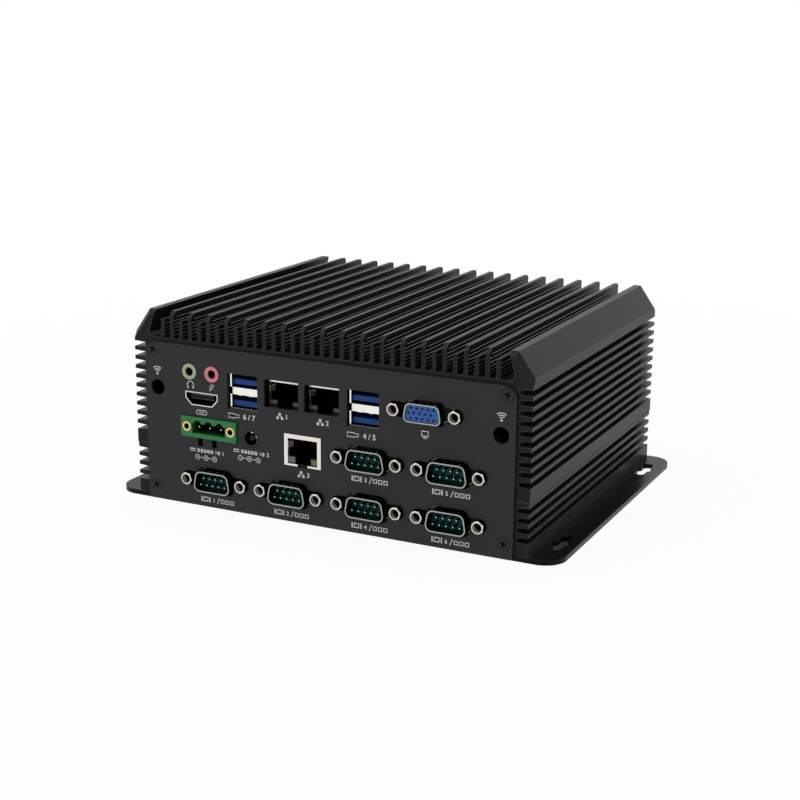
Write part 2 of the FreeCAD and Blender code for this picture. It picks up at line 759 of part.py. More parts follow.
def panel_screws(name, tip, way):
    """The four screws of one end panel; way is the direction they are driven."""
    screws = []
    for index, (x, z) in enumerate(panel_screw_places()):
        screw = flat_screw(f"{name}_{index}", S.panel_thickness + S.screw_grip)
        screws.append(turn_to(screw, Vector(1, 0, 0), -90 * way, x, tip, z))
    return screws


def panel_sheet(name, y, tip, way):
    """An end sheet with rounded corners, and the cutters for its four screws."""
    body = new_body(name + "_body")
    outline = [
        (-panel_side, S.panel_lift), (panel_side, S.panel_lift),
        (panel_side, panel_top), (-panel_side, panel_top),
    ]
    stock = pad_y(body, name + "_stock", [outline], y)
    upper = dress(body, "Fillet", name + "_upper_corners", stock, S.panel_corner,
                  lambda point: near(point.z, panel_top), edges_along_y)
    dress(body, "Fillet", name + "_lower_corners", upper, S.panel_foot_corner,
          lambda point: near(point.z, S.panel_lift), edges_along_y)
    holes = []
    for index, (x, z) in enumerate(panel_screw_places()):
        hole = countersink(f"{name}_countersink_{index}")
        holes.append(turn_to(hole, Vector(1, 0, 0), -90 * way, x, tip, z))
    return body, holes


# ------------------------------------------------------------ mounting plate

def plate_screw_places():
    across = side - S.plate_screw_inset
    along = end - S.plate_screw_end
    return [(i * across, j * along) for i in (-1, 1) for j in (-1, 1)]


def base_plate():
    """The mounting plate with its double keyholes and screw holes."""
    body = new_body("base_plate_body")
    half = side + S.ear_width
    sketch = sketch_on(body, "plate_sketch", "XY_Plane", 0, [[
        (-half, -end), (half, -end), (half, end), (-half, end),
    ]])
    stock = extrude(body, "Pad", "plate_stock", sketch, S.plate_thickness, False)

    def standing(feature, test):
        return [name for name in edges_where(feature, test)
                if abs(feature.Shape.getElement(name).tangentAt(0).z) > 0.9]

    dress(body, "Fillet", "plate_corners", stock, S.plate_corner, lambda point: True, standing)
    through = (-clear, S.plate_thickness + clear)
    straight = (S.slot_length - S.slot_width) / 2
    cutters = []
    for i in (-1, 1):
        for j in (-1, 1):
            name = f"keyhole_{i + 1}{j + 1}"
            x = i * (side + S.keyhole_offset)
            y = j * (end - S.keyhole_end)
            cutters += [
                block(name + "_slot", (x - S.slot_width / 2, x + S.slot_width / 2),
                      (y - straight, y + straight), through),
                post(name + "_front", S.slot_width, x, y - straight, through),
                post(name + "_rear", S.slot_width, x, y + straight, through),
                post(name + "_middle", S.keyhole_bore, x, y, through),
            ]
    for index, (x, y) in enumerate(plate_screw_places()):
        hole = countersink(f"plate_countersink_{index}")
        cutters.append(turn_to(hole, Vector(0, 0, 1), 0, x, y, 0))
    return cut("base_plate", body, cutters)


def plate_screws():
    screws = []
    for index, (x, y) in enumerate(plate_screw_places()):
        screw = flat_screw(f"plate_screw_{index}", S.plate_thickness + S.plate_screw_grip)
        screws.append(turn_to(screw, Vector(0, 0, 1), 0, x, y, 0))
    return group("base_plate_screws", screws)


# ---------------------------------------------------------- D-sub connectors

def d_prism(name, x, z, shape, grow, y):
    """A D-shaped bar along Y, wide side down; grow moves its faces outwards."""
    low = shape["wide"] / 2 + grow
    high = shape["narrow"] / 2 + grow
    half = shape["tall"] / 2 + grow
    body = new_body(name)
    stock = pad_y(body, name + "_stock", [[
        (x - low, z - half), (x + low, z - half), (x + high, z + half), (x - high, z + half),
    ]], y)
    dress(body, "Fillet", name + "_corners", stock, shape["corner"] + grow,
          lambda point: True, edges_along_y)
    return body


COM = {"wide": S.com_wide, "narrow": S.com_narrow, "tall": S.com_tall, "corner": S.com_corner}
VGA = {"wide": S.vga_wide, "narrow": S.vga_narrow, "tall": S.vga_tall, "corner": S.vga_corner}

flange_front = face + S.dsub_setback
flange_back = flange_front + S.dsub_flange
shell_rim = flange_front - S.dsub_reach


def dsub_shell(name, x, z, shape):
    """The drawn metal shell with its flange."""
    half_width = S.dsub_flange_width / 2
    half_height = S.dsub_flange_height / 2
    flange = block(name + "_flange", (x - half_width, x + half_width),
                   (flange_front, flange_back), (z - half_height, z + half_height))
    outside = d_prism(name + "_outside", x, z, shape, 0, (shell_rim, flange_back))
    inside = d_prism(name + "_inside", x, z, shape, -S.dsub_skin,
                     (shell_rim - clear, flange_back + clear))
    return cut(name, fuse(name + "_blank", [flange, outside]), [inside])


def dsub_moulding(name, x, z, shape, front, seat):
    """The insulator: inside the shell, behind the flange and on to its board."""
    inner = d_prism(name + "_front", x, z, shape, -S.dsub_skin - S.lan_fit, (front, flange_back))
    half_width = S.dsub_body_width / 2
    half_height = S.dsub_body_height / 2
    rear = (flange_back, flange_back + S.dsub_body_depth)
    across = (x - half_width, x + half_width)
    body = block(name + "_body", across, rear, (z - half_height, z + half_height))
    low, high = (seat, z) if seat.number < z.number else (z, seat)
    foot = block(name + "_foot", across, (flange_back + clear, rear[1]), (low, high))
    return fuse(name, [inner, body, foot])


def com_pins(name, x, z):
    """Five pins in the lower row and four between them in the upper row."""
    front = shell_rim + S.com_pin_short
    back = flange_front - S.com_face
    pins = []
    for index in range(5):
        across = x + (index - 2) * S.com_pin_pitch
        pins.append(pin(f"{name}_low_{index}", S.com_pin, across, (front, back), z - S.com_row))
    for index in range(4):
        across = x + (index - 1.5) * S.com_pin_pitch
        pins.append(pin(f"{name}_high_{index}", S.com_pin, across, (front, back), z + S.com_row))
    return pins


def vga_holes(front):
    """Three rows of five contact holes, the middle row half a pitch aside."""
    holes = []
    for row, shift in ((-1, 0), (0, -0.5), (1, 0)):
        for index in range(5):
            across = S.vga_x + (index - 2 + shift) * S.vga_pitch
            up = vga_middle + row * S.vga_row
            holes.append(pin(f"vga_hole_{row + 1}{index}", S.vga_hole, across,
                             (front - clear, front + S.vga_hole_depth), up))
    return holes


def jackscrew(name, x, z, spin):
    """A hexagonal jackscrew with a threaded bore, standing on the flange."""
    length = S.jack_length
    bar = hexagon(name + "_hexagon", S.jack_flats, length)
    bore = thread(name + "_bore", S.jack_bore, 0, 0, (-clear, S.jack_bore_depth))
    screw = cut(name, bar, [bore])
    turned = FreeCAD.Rotation(Vector(1, 0, 0), -90) * FreeCAD.Rotation(Vector(0, 0, 1), spin)
    screw.Placement = FreeCAD.Placement(Vector(), turned)
    for axis, place in zip("xyz", (x, flange_front - length, z)):
        bind(screw, f"Placement.Base.{axis}", place)
    return screw


def dsub_opening(name, x, z, shape):
    """The panel opening: round the shell, and round both jackscrews."""
    through = (face - clear, clear - end)
    reach = S.jack_flats / 2 + S.jack_clearance
    left = x - S.dsub_span / 2
    right = x + S.dsub_span / 2
    return [
        d_prism(name + "_shell_hole", x, z, shape, S.dsub_clearance, through),
        block(name + "_bar", (left, right), through, (z - reach, z + reach)),
        rod(name + "_left", 2 * reach, left, through, z),
        rod(name + "_right", 2 * reach, right, through, z),
    ]


# -------------------------------------------------- double serial-bus sockets

def usb_socket(where, x, front, way):
    """A stacked double socket on the upper board; way is the direction it runs back."""
    def span(start, stop):
        limits = (front + way * as_size(start), front + way * as_size(stop))
        return limits if way > 0 else limits[::-1]

    floor_level = main_top
    half = S.usb_width / 2
    outside = block(f"usb_can_{where}", (x - half, x + half), span(0, S.usb_depth),
                    (floor_level, floor_level + S.usb_height))
    half = S.usb_port_width / 2
    openings = []
    tongues = []
    for index, lift in enumerate((S.usb_port_low, S.usb_port_high)):
        low = floor_level + lift
        openings.append(block(f"usb_port_{where}_{index}", (x - half, x + half),
                              span(-clear, S.usb_cavity), (low, low + S.usb_port_height)))
        reach = S.usb_tongue_width / 2
        start = low + S.usb_tongue_lift
        tongues.append(block(f"usb_tongue_{where}_{index}", (x - reach, x + reach),
                             span(S.usb_tongue_setback, S.usb_cavity),
                             (start, start + S.usb_tongue)))
    node(f"usb_shell_{where}", cut(f"usb_shell_{where}", outside, openings))
    return tongues


def usb_opening(where, x, y):
    half = S.usb_window_width / 2
    tall = S.usb_window_height / 2
    return block(f"usb_window_{where}", (x - half, x + half), y,
                 (usb_window_middle - tall, usb_window_middle + tall))


# ------------------------------------------------------------ network sockets

def lan_socket(number, x, board, riser, front):
    """A shielded network socket: shield, moulding and the two light windows."""
    foot = board + riser
    top = foot + S.lan_height
    back = front + S.lan_depth
    half = S.lan_width / 2
    frame_back = front + S.lan_frame
    can = block(f"lan_can_{number}", (x - half, x + half), (front, back), (foot, top))
    hollow = half - S.lan_skin
    inside = block(f"lan_inside_{number}", (x - hollow, x + hollow),
                   (frame_back, back - S.lan_skin), (foot - clear, top - S.lan_skin))
    opening = half - S.lan_side
    window = block(f"lan_mouth_{number}", (x - opening, x + opening),
                   (front - clear, frame_back + clear), (foot + S.lan_foot, top - S.lan_top))
    notch_half = S.lan_latch_width / 2
    notch = block(f"lan_notch_{number}", (x - notch_half, x + notch_half),
                  (front - clear, frame_back), (foot - clear, foot + S.lan_foot + clear))
    node(f"lan_shield_{number}", cut(f"lan_shield_{number}", can, [inside, window, notch]))

    filling = hollow - S.lan_fit
    moulding = block(f"lan_moulding_{number}", (x - filling, x + filling),
                     (frame_back, back - S.lan_skin - S.lan_fit),
                     (board, top - S.lan_skin - S.lan_fit))
    plug_half = S.lan_plug_width / 2
    plug_top = top - S.lan_top
    cavity = (frame_back - clear, frame_back + S.lan_cavity)
    plug = block(f"lan_plug_{number}", (x - plug_half, x + plug_half), cavity,
                 (plug_top - S.lan_plug_height, plug_top))
    key_half = S.lan_key_width / 2
    key = block(f"lan_key_{number}", (x - key_half, x + key_half), cavity,
                (foot + S.lan_foot, plug_top - S.lan_plug_height + clear))
    cutters = [plug, key]
    lights = []
    for index, way in enumerate((-1, 1)):
        centre = x + way * (opening - S.lan_light_width / 2)
        reach = S.lan_light_width / 2
        low = foot + S.lan_light_lift
        place = ((centre - reach, centre + reach), (frame_back, frame_back + S.lan_light_depth),
                 (low, low + S.lan_light_height))
        lights.append(block(f"lan_light_{number}_{index}", *place))
        cutters.append(block(f"lan_light_seat_{number}_{index}", *place))
    if riser.number > 0:
        cutters.append(block(f"lan_step_{number}", (x - half, x + half),
                             (frame_back - clear, frame_back + 2 * clear), (board - clear, foot)))
    node(f"lan_insert_{number}", cut(f"lan_insert_{number}", moulding, cutters))
    return lights


# ------------------------------------------- flat display socket, sound jacks

def hdmi_outline(grow):
    half = S.hdmi_width / 2 + grow
    foot = S.hdmi_foot_width / 2 + grow / 2
    low = main_top + S.hdmi_lift
    top = low + S.hdmi_height
    shoulder_level = top - S.hdmi_shoulder - grow / 2
    return [
        (S.hdmi_x - half, shoulder_level), (S.hdmi_x - foot, low - grow),
        (S.hdmi_x + foot, low - grow), (S.hdmi_x + half, shoulder_level),
        (S.hdmi_x + half, top + grow), (S.hdmi_x - half, top + grow),
    ]


def prism_y(name, outline, y):
    body = new_body(name)
    pad_y(body, name + "_stock", [outline], y)
    return body


def hdmi_socket():
    back = face + S.hdmi_depth
    skin = -S.hdmi_skin
    can = prism_y("hdmi_can", hdmi_outline(as_size(0)), (face, back))
    hollow = prism_y("hdmi_hollow", hdmi_outline(skin), (face - clear, back - S.hdmi_skin))
    node("hdmi_shell", cut("hdmi_shell", can, [hollow]))
    top = main_top + S.hdmi_lift + S.hdmi_height - S.hdmi_skin - S.hdmi_tongue_drop
    half = S.hdmi_tongue_width / 2
    node("hdmi_tongue", block("hdmi_tongue", (S.hdmi_x - half, S.hdmi_x + half),
                              (face + clear, back - S.hdmi_skin), (top - S.hdmi_tongue, top)))


def sound_jack(name, x):
    """A jack with its collar in the panel and its leg behind the flat display socket."""
    half = S.jack_block / 2
    back = S.jack_block_depth - end
    body = block(name + "_block", (x - half, x + half), (-end, back),
                 (jack_middle - half, jack_middle + half))
    leg = block(name + "_leg", (x - half, x + half), (back - S.jack_leg, back),
                (main_top, jack_middle))
    collar = rod(name + "_collar", S.jack_ring, x, (face - S.jack_proud, clear - end), jack_middle)
    bore = rod(name + "_socket", S.jack_socket, x,
               (face - S.jack_proud - clear, face + S.jack_socket_depth), jack_middle)
    node(name, cut(name, fuse(name + "_blank", [body, leg, collar]), [bore]))


# -------------------------------------------------------------- power inlets

def terminal_header():
    x = S.terminal_x
    z = terminal_middle
    front = face - S.terminal_proud
    back = front + S.terminal_depth
    half_width = S.terminal_width / 2
    half_height = S.terminal_height / 2
    body = block("header_block", (x - half_width, x + half_width), (front, back),
                 (z - half_height, z + half_height))
    leg = block("header_leg", (x - half_width, x + half_width), (back - S.terminal_leg, back),
                (io_top, z))
    reach = S.terminal_cavity_width / 2
    inside = (front - clear, front + S.terminal_cavity)
    cutters = [block("header_cavity", (x - reach, x + reach), inside,
                     (z - S.terminal_cavity_low, z + S.terminal_cavity_high))]
    pins = []
    nuts = []
    pin_half = S.terminal_pin / 2
    lobe_z = z + S.terminal_cavity_high - S.terminal_lobe / 4
    for index in range(3):
        across = x + (index - 1) * S.terminal_pitch
        cutters.append(rod(f"header_lobe_{index}", 2 * S.terminal_lobe, across, inside, lobe_z))
        pins.append(block(f"header_pin_{index}", (across - pin_half, across + pin_half),
                          (front + S.terminal_pin_setback, front + S.terminal_cavity),
                          (z - pin_half, z + pin_half)))
    for way in (-1, 1):
        across = x + way * S.terminal_nut_span / 2
        depth = (front, front + S.terminal_nut_depth)
        seat_size = S.terminal_nut + 2 * S.screw_fit
        cutters.append(rod(f"header_seat_{way + 1}", seat_size, across, (front - clear, depth[1]), z))
        blank = rod(f"header_nut_blank_{way + 1}", S.terminal_nut, across, depth, z)
        hole = pin(f"header_nut_thread_{way + 1}", S.terminal_nut_bore, across,
                   (front - clear, depth[1] + clear), z)
        nuts.append(cut(f"header_nut_{way + 1}", blank, [hole]))
    header = cut("power_terminal_block", fuse("header_blank", [body, leg]), cutters)
    node("power_terminal_block", header)
    node("power_terminal_pins", group("power_terminal_pins", pins))
    node("power_terminal_nuts", group("power_terminal_nuts", nuts))


def terminal_opening():
    """The panel opening of the header, with two keying slots below it."""
    through = (face - clear, clear - end)
    half_width = S.terminal_width / 2 + S.socket_gap
    half_height = S.terminal_height / 2 + S.socket_gap
    x = S.terminal_x
    z = terminal_middle
    cutters = [block("header_window", (x - half_width, x + half_width), through,
                     (z - half_height, z + half_height))]
    for name, place in (("left", S.key_slot_left), ("right", S.key_slot_right)):
        half = S.key_slot_width / 2
        low = z - half_height - S.key_slot_height
        cutters.append(block(f"key_slot_{name}", (x + place - half, x + place + half), through,
                             (low, z)))
    return cutters


def dc_jack():
    x = S.dc_x
    half = S.dc_block / 2
    back = S.dc_block_depth - end
    body = block("dc_block", (x - half, x + half), (-end, back), (io_top, dc_middle + half))
    barrel = rod("dc_barrel", S.dc_barrel, x, (face, clear - end), dc_middle)
    bore = rod("dc_bore", S.dc_bore, x, (face - clear, face + S.dc_bore_depth), dc_middle)
    node("dc_jack_body", cut("dc_jack_body", fuse("dc_blank", [body, barrel]), [bore]))
    node("dc_jack_pin", rod("dc_jack_pin", S.dc_pin, x,
                            (face + S.dc_pin_setback, face + S.dc_bore_depth), dc_middle))


# ------------------------------------------------- push button, status lights

def power_button():
    """A collar with a barrel through the rear panel, its nut, and the moving cap."""
    x = S.button_x
    z = button_middle
    collar_top = back_face + S.button_bezel_rise
    cap_top = collar_top + S.button_proud
    cap_floor = cap_top - S.button_cap_length
    barrel_end = back_face - S.button_body_length
    seat = cap_floor - S.button_travel - S.button_gap
    collar = rod("button_collar", S.button_bezel, x, (back_face, collar_top), z)
    barrel = rod("button_barrel", S.button_body, x, (barrel_end, back_face + clear / 2), z)
    cap_bore = rod("button_cap_bore", S.button_cap + 2 * S.button_gap, x,
                   (seat, collar_top + clear), z)
    stem_bore = rod("button_stem_bore", S.button_stem + 2 * S.button_gap, x,
                    (barrel_end + clear, seat + clear), z)
    bezel = cut("power_button_bezel", fuse("button_blank", [collar, barrel]), [cap_bore, stem_bore])
    node("power_button_bezel", bezel)
    nut = hexagon("button_nut_blank", S.button_nut, S.button_nut_height)
    turn_to(nut, Vector(1, 0, 0), -90, x, end - S.button_nut_height, z)
    nut_bore = rod("button_nut_bore", S.button_body + 2 * S.screw_fit, x,
                   (end - S.button_nut_height - clear, end + clear), z)
    node("power_button_nut", cut("power_button_nut", nut, [nut_bore]))
    cap = rod("button_cap", S.button_cap, x, (cap_floor, cap_top), z)
    stem = rod("button_stem", S.button_stem, x,
               (cap_floor - S.button_stem_length, cap_floor + clear), z)
    node("power_button", fuse("power_button", [cap, stem]))


def status_lights():
    lights = []
    for index in range(2):
        x = S.light_x - index * S.light_pitch
        lights.append(rod(f"status_light_{index}", S.light_bore, x,
                          (end - S.light_length, back_face + S.light_rise), button_middle))
    return group("status_lights", lights)


# -------------------------------------------------------- boards and supports

front_rows = (S.standoff_front, S.standoff_middle)
all_rows = front_rows + (board_rear - S.standoff_rear_inset - face,)


def board(name, length, top, rows):
    """A circuit board with its screw holes."""
    front = board_front
    under = top - S.board_thickness
    sheet_stock = block(name + "_sheet", (-board_half, board_half), (front, front + length),
                        (under, top))
    holes = []
    for index, row in enumerate(rows):
        for way in (-1, 1):
            holes.append(thread(f"{name}_hole_{index}{way + 1}", S.board_hole, way * standoff_across,
                              face + row, (under - clear, top + clear)))
    return cut(name, sheet_stock, holes)


def standoff(name, x, y, low, high, stud):
    """A hexagonal support with a thread in its top, and a stud below when stacked."""
    bar = hexagon(name + "_bar", S.standoff_flats, high - low)
    turn_to(bar, Vector(0, 0, 1), 0, x, y, low)
    solids = [bar]
    if stud:
        solids.append(thread(name + "_stud", S.screw_shank, x, y,
                             (low - S.standoff_stud_length, low + clear)))
        bar = fuse(name + "_blank", solids)
    bore = thread(name + "_bore", S.screw_shank + 2 * S.screw_fit, x, y,
                  (high - S.standoff_bore_depth, high + clear))
    return cut(name, bar, [bore])


def standoffs():
    supports = []
    for way in (-1, 1):
        x = way * standoff_across
        for index, row in enumerate(front_rows):
            name = f"support_{way + 1}{index}"
            supports.append(standoff(name + "_low", x, face + row, floor, io_board_under, False))
            supports.append(standoff(name + "_high", x, face + row, io_top,
                                     main_board_under, True))
        supports.append(standoff(f"support_{way + 1}_rear", x, board_rear - S.standoff_rear_inset, floor,
                                 main_board_under, False))
    return group("board_standoffs", supports)


def board_screws():
    screws = []
    for way in (-1, 1):
        for index, row in enumerate(all_rows):
            name = f"board_screw_{way + 1}{index}"
            x = way * standoff_across
            top = main_top + S.board_screw_rise
            y = face + row
            head = thread(name + "_head", S.board_screw_head, x, y, (main_top, top))
            shank = thread(name + "_shank", S.screw_shank, x, y,
                           (main_top - S.board_screw_grip, top - clear))
            screws.append(fuse(name, [head, shank]))
    return group("board_screws", screws)


def centred(name, x, y, width, length, z):
    """A box centred on x, y."""
    return block(name, (x - width / 2, x + width / 2), (y - length / 2, y + length / 2), z)


def board_parts():
    base = main_top
    middle = as_size(0)
    carrier_top = base + S.chip_height
    lid_top = carrier_top + S.die_height
    pad_top = lid_top + S.pad_height
    carrier = centred("chip_carrier", middle, S.chip_y, S.chip_width, S.chip_length,
                      (base, carrier_top))
    lid = centred("chip_lid", middle, S.chip_y, S.die_width, S.die_length, (carrier_top, lid_top))
    node("processor", fuse("processor", [carrier, lid]))
    node("thermal_pad", centred("thermal_pad", middle, S.chip_y, S.die_width, S.die_length,
                                (lid_top, pad_top)))
    node("heat_block", centred("heat_block", middle, S.chip_y, S.heat_block, S.heat_block,
                               (pad_top, roof)))

    low = base + S.memory_lift
    rear = S.memory_y + S.memory_length / 2
    module_z = (low, low + S.memory_board)
    strip = centred("memory_strip", S.memory_x, S.memory_y, S.memory_width, S.memory_length,
                    module_z)
    chips = []
    for index in range(4):
        x = S.memory_x + (index - 1.5) * S.memory_width / 4.4
        chips.append(centred(f"memory_chip_{index}", x, S.memory_y - S.memory_seat / 2,
                             S.memory_chip, S.memory_chip,
                             (module_z[1], module_z[1] + S.memory_chip_height)))
    node("memory_module", fuse("memory_module", [strip] + chips))
    socket_half = S.memory_socket_width / 2
    socket_front = rear - S.memory_seat
    socket = block("memory_socket_block", (S.memory_x - socket_half, S.memory_x + socket_half),
                   (socket_front, socket_front + S.memory_socket_length),
                   (base, base + S.memory_socket_height))
    slot_half = S.memory_width / 2 + S.memory_slot_gap
    slot = block("memory_slot", (S.memory_x - slot_half, S.memory_x + slot_half),
                 (socket_front - clear, rear),
                 (low - S.memory_slot_gap, module_z[1] + S.memory_slot_gap))
    node("memory_socket", cut("memory_socket", socket, [slot]))

    node("board_link", centred("board_link", S.link_x, S.link_y, S.link_width, S.link_length,
                               (io_top, main_board_under)))
    node("storage_drive", centred("storage_drive", middle, S.drive_y, S.drive_width,
                                  S.drive_length, (floor, floor + S.drive_height)))


# ------------------------------------------------------------------ assembly

thread_holes = fuse("thread_holes", end_holes())
node("top_housing", cut("top_housing", top_housing(), [thread_holes]))

plate_threads = []
for spot, (place_x, place_y) in enumerate(plate_screw_places()):
    plate_threads.append(thread(f"plate_thread_{spot}", S.screw_shank + 2 * S.screw_fit,
                                place_x, place_y,
                                (S.plate_thickness - clear,
                                 S.plate_thickness + S.plate_screw_grip + 2 * S.screw_fit)))
node("lower_housing", cut("lower_housing", lower_housing(), [thread_holes] + plate_threads))
node("base_plate", base_plate())
node("base_plate_screws", plate_screws())

front_body, front_cuts = panel_sheet("front_panel", (face, -end), face, 1)
rear_body, rear_cuts = panel_sheet("rear_panel", (end, back_face), back_face, -1)
node("panel_screws", group("panel_screws", panel_screws("front_screw", face, 1)
                           + panel_screws("rear_screw", back_face, -1)))

COM_PLACES = [
    (1, S.com_1_x, com_low, io_board_under),
    (2, S.com_2_x, com_low, io_board_under),
    (3, S.com_3_x, com_high, io_top),
    (4, S.com_3_x, com_low, io_board_under),
    (5, S.com_5_x, com_high, io_top),
    (6, S.com_5_x, com_low, io_board_under),
]
JACKSCREW_TURNS = (8, 41, 22, 53, 4, 30, 17, 47, 26, 11, 55, 36, 2, 19)
all_pins = []
all_jackscrews = []


def jackscrew_pair(name, x, z):
    for way in (-1, 1):
        turn = JACKSCREW_TURNS[len(all_jackscrews)]
        all_jackscrews.append(jackscrew(f"{name}_jackscrew_{way + 1}",
                                        x + way * S.dsub_span / 2, z, turn))


for number, com_x, com_z, com_seat in COM_PLACES:
    node(f"com_shell_{number}", dsub_shell(f"com_shell_{number}", com_x, com_z, COM))
    node(f"com_insulator_{number}", dsub_moulding(f"com_insulator_{number}", com_x, com_z, COM,
                                                  flange_front - S.com_face, com_seat))
    all_pins += com_pins(f"com_{number}_pin", com_x, com_z)
    jackscrew_pair(f"com_{number}", com_x, com_z)
    front_cuts += dsub_opening(f"com_{number}", com_x, com_z, COM)

node("vga_shell", dsub_shell("vga_shell", S.vga_x, vga_middle, VGA))
vga_front = shell_rim + S.vga_rim
vga_solid = dsub_moulding("vga_moulding", S.vga_x, vga_middle, VGA, vga_front, main_top)
node("vga_insulator", cut("vga_insulator", vga_solid, vga_holes(vga_front)))
jackscrew_pair("vga", S.vga_x, vga_middle)
front_cuts += dsub_opening("vga", S.vga_x, vga_middle, VGA)
node("com_pins", group("com_pins", all_pins))
node("jackscrews", group("jackscrews", all_jackscrews))

front_span = (face - clear, clear - end)
rear_span = (end - clear, back_face + clear)
usb_front = face + S.usb_setback
usb_rear = back_face - S.usb_setback
usb_tongues = usb_socket("left", S.usb_left_x, usb_front, 1)
usb_tongues += usb_socket("right", S.usb_right_x, usb_front, 1)
usb_tongues += usb_socket("rear", S.usb_left_x, usb_rear, -1)
node("usb_tongues", group("usb_tongues", usb_tongues))
front_cuts += [usb_opening("left", S.usb_left_x, front_span),
               usb_opening("right", S.usb_right_x, front_span)]
rear_cuts.append(usb_opening("rear", S.usb_left_x, rear_span))

all_lights = []
for number, lan_x in ((1, S.lan_1_x), (2, S.lan_2_x)):
    all_lights += lan_socket(number, lan_x, main_top, S.lan_riser, face + S.lan_setback)
    reach_x = S.lan_window_width / 2
    reach_z = S.lan_window_height / 2
    front_cuts.append(block(f"lan_window_{number}", (lan_x - reach_x, lan_x + reach_x), front_span,
                            (lan_window_middle - reach_z, lan_window_middle + reach_z)))
all_lights += lan_socket(3, S.lan_3_x, io_top, as_size(0), face)
reach_x = S.lan_width / 2 + S.socket_gap
front_cuts.append(block("lan_window_3", (S.lan_3_x - reach_x, S.lan_3_x + reach_x), front_span,
                        (io_top - S.socket_gap,
                         io_top + S.lan_height + S.socket_gap)))
node("lan_status_windows", group("lan_status_windows", all_lights))

hdmi_socket()
sound_jack("line_out_jack", S.line_out_x)
sound_jack("microphone_jack", S.microphone_x)
terminal_header()
dc_jack()
front_cuts += terminal_opening()
front_cuts += [
    prism_y("hdmi_window", hdmi_outline(S.socket_gap), front_span),
    rod("line_out_hole", S.jack_ring + 2 * S.socket_gap, S.line_out_x, front_span, jack_middle),
    rod("microphone_hole", S.jack_ring + 2 * S.socket_gap, S.microphone_x, front_span, jack_middle),
    rod("dc_hole", S.dc_barrel + 2 * S.socket_gap, S.dc_x, front_span, dc_middle),
    rod("antenna_left", S.antenna_bore, -antenna_across, front_span, S.antenna_z),
    rod("antenna_right", S.antenna_bore, antenna_across, front_span, S.antenna_z),
]
power_button()
node("status_lights", status_lights())
rear_cuts.append(rod("button_hole", S.button_body + 2 * S.screw_fit, S.button_x, rear_span,
                     button_middle))
for spot in range(2):
    rear_cuts.append(rod(f"light_hole_{spot}", S.light_bore + 2 * S.screw_fit,
                         S.light_x - spot * S.light_pitch, rear_span, button_middle))
node("front_panel", cut("front_panel", front_body, front_cuts))
node("rear_panel", cut("rear_panel", rear_body, rear_cuts))

node("io_board", board("io_board", S.io_board_length, io_top, front_rows))
node("main_board", board("main_board", board_rear - board_front, main_top, all_rows))
node("board_standoffs", standoffs())
node("board_screws", board_screws())
board_parts()

# ------------------------------------------------------------ check and write

doc.recompute()
failed = [thing.Name for thing in doc.Objects if {"Invalid", "Error"} & set(thing.State)]
if failed:
    raise RuntimeError("failed objects: " + ", ".join(failed))
for part in nodes:
    if part.Shape.isNull() or not part.Shape.isValid() or not part.Shape.Solids:
        raise RuntimeError("bad shape: " + part.Label)

os.makedirs("parts", exist_ok=True)
for part in nodes:
    part.Shape.exportStep(f"parts/{part.Label}.step")
print(f"wrote {len(nodes)} sub-parts")
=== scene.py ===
import math
import random

import bmesh
import bpy
from mathutils import Matrix, Vector


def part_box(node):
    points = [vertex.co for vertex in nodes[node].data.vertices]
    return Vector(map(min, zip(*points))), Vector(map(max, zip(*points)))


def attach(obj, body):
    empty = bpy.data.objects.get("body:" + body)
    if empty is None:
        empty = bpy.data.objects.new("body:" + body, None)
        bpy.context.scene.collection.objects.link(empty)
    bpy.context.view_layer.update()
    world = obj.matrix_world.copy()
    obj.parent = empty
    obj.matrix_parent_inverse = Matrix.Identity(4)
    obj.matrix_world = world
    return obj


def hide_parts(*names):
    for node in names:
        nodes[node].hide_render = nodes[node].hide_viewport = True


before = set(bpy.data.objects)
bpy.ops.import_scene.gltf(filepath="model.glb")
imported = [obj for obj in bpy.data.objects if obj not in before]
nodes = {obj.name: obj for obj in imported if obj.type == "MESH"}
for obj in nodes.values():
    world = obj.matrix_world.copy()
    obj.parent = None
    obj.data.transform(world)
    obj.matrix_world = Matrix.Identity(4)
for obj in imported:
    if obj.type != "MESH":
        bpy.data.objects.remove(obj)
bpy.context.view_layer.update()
print("frame loaded:", len(nodes), "nodes")

mm = 0.001
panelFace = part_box("front_panel")[0].y  # outer face of the front panel
random.seed(7)


def newMaterial(name):
    material = bpy.data.materials.new(name)
    material.use_nodes = True
    tree = material.node_tree
    return material, tree, tree.nodes["Principled BSDF"]


def feed(tree, node, values):  # a value is a number, a colour, a vector or another node's output
    for name, value in values.items():
        socket = node.inputs[name]
        if isinstance(value, bpy.types.NodeSocket):
            tree.links.new(value, socket)
        elif socket.type == "RGBA":
            socket.default_value = (*value, 1)
        else:
            socket.default_value = value


def addNode(tree, kind, *inOrder, **values):  # inOrder fills the inputs from the first on
    node = tree.nodes.new(kind)
    inputs = dict(enumerate(inOrder))
    for key, value in values.items():
        if hasattr(node, key):
            setattr(node, key, value)
        else:
            inputs[key] = value
    feed(tree, node, inputs)
    return node


def maths(tree, operation, *values, clamp=False):
    return addNode(tree, "ShaderNodeMath", *values, operation=operation, use_clamp=clamp).outputs[0]


def vectorMaths(tree, operation, *values):
    return addNode(tree, "ShaderNodeVectorMath", *values, operation=operation).outputs


def ramp(tree, source, low, high, first, last):
    return addNode(tree, "ShaderNodeMapRange", source, low, high, first, last).outputs["Result"]


def mixColour(tree, factor, first, second):
    node = addNode(tree, "ShaderNodeMix", data_type="RGBA")
    feed(tree, node, {0: factor, 6: first, 7: second})  # a mix node's factor and its two colours
    return node.outputs[2]


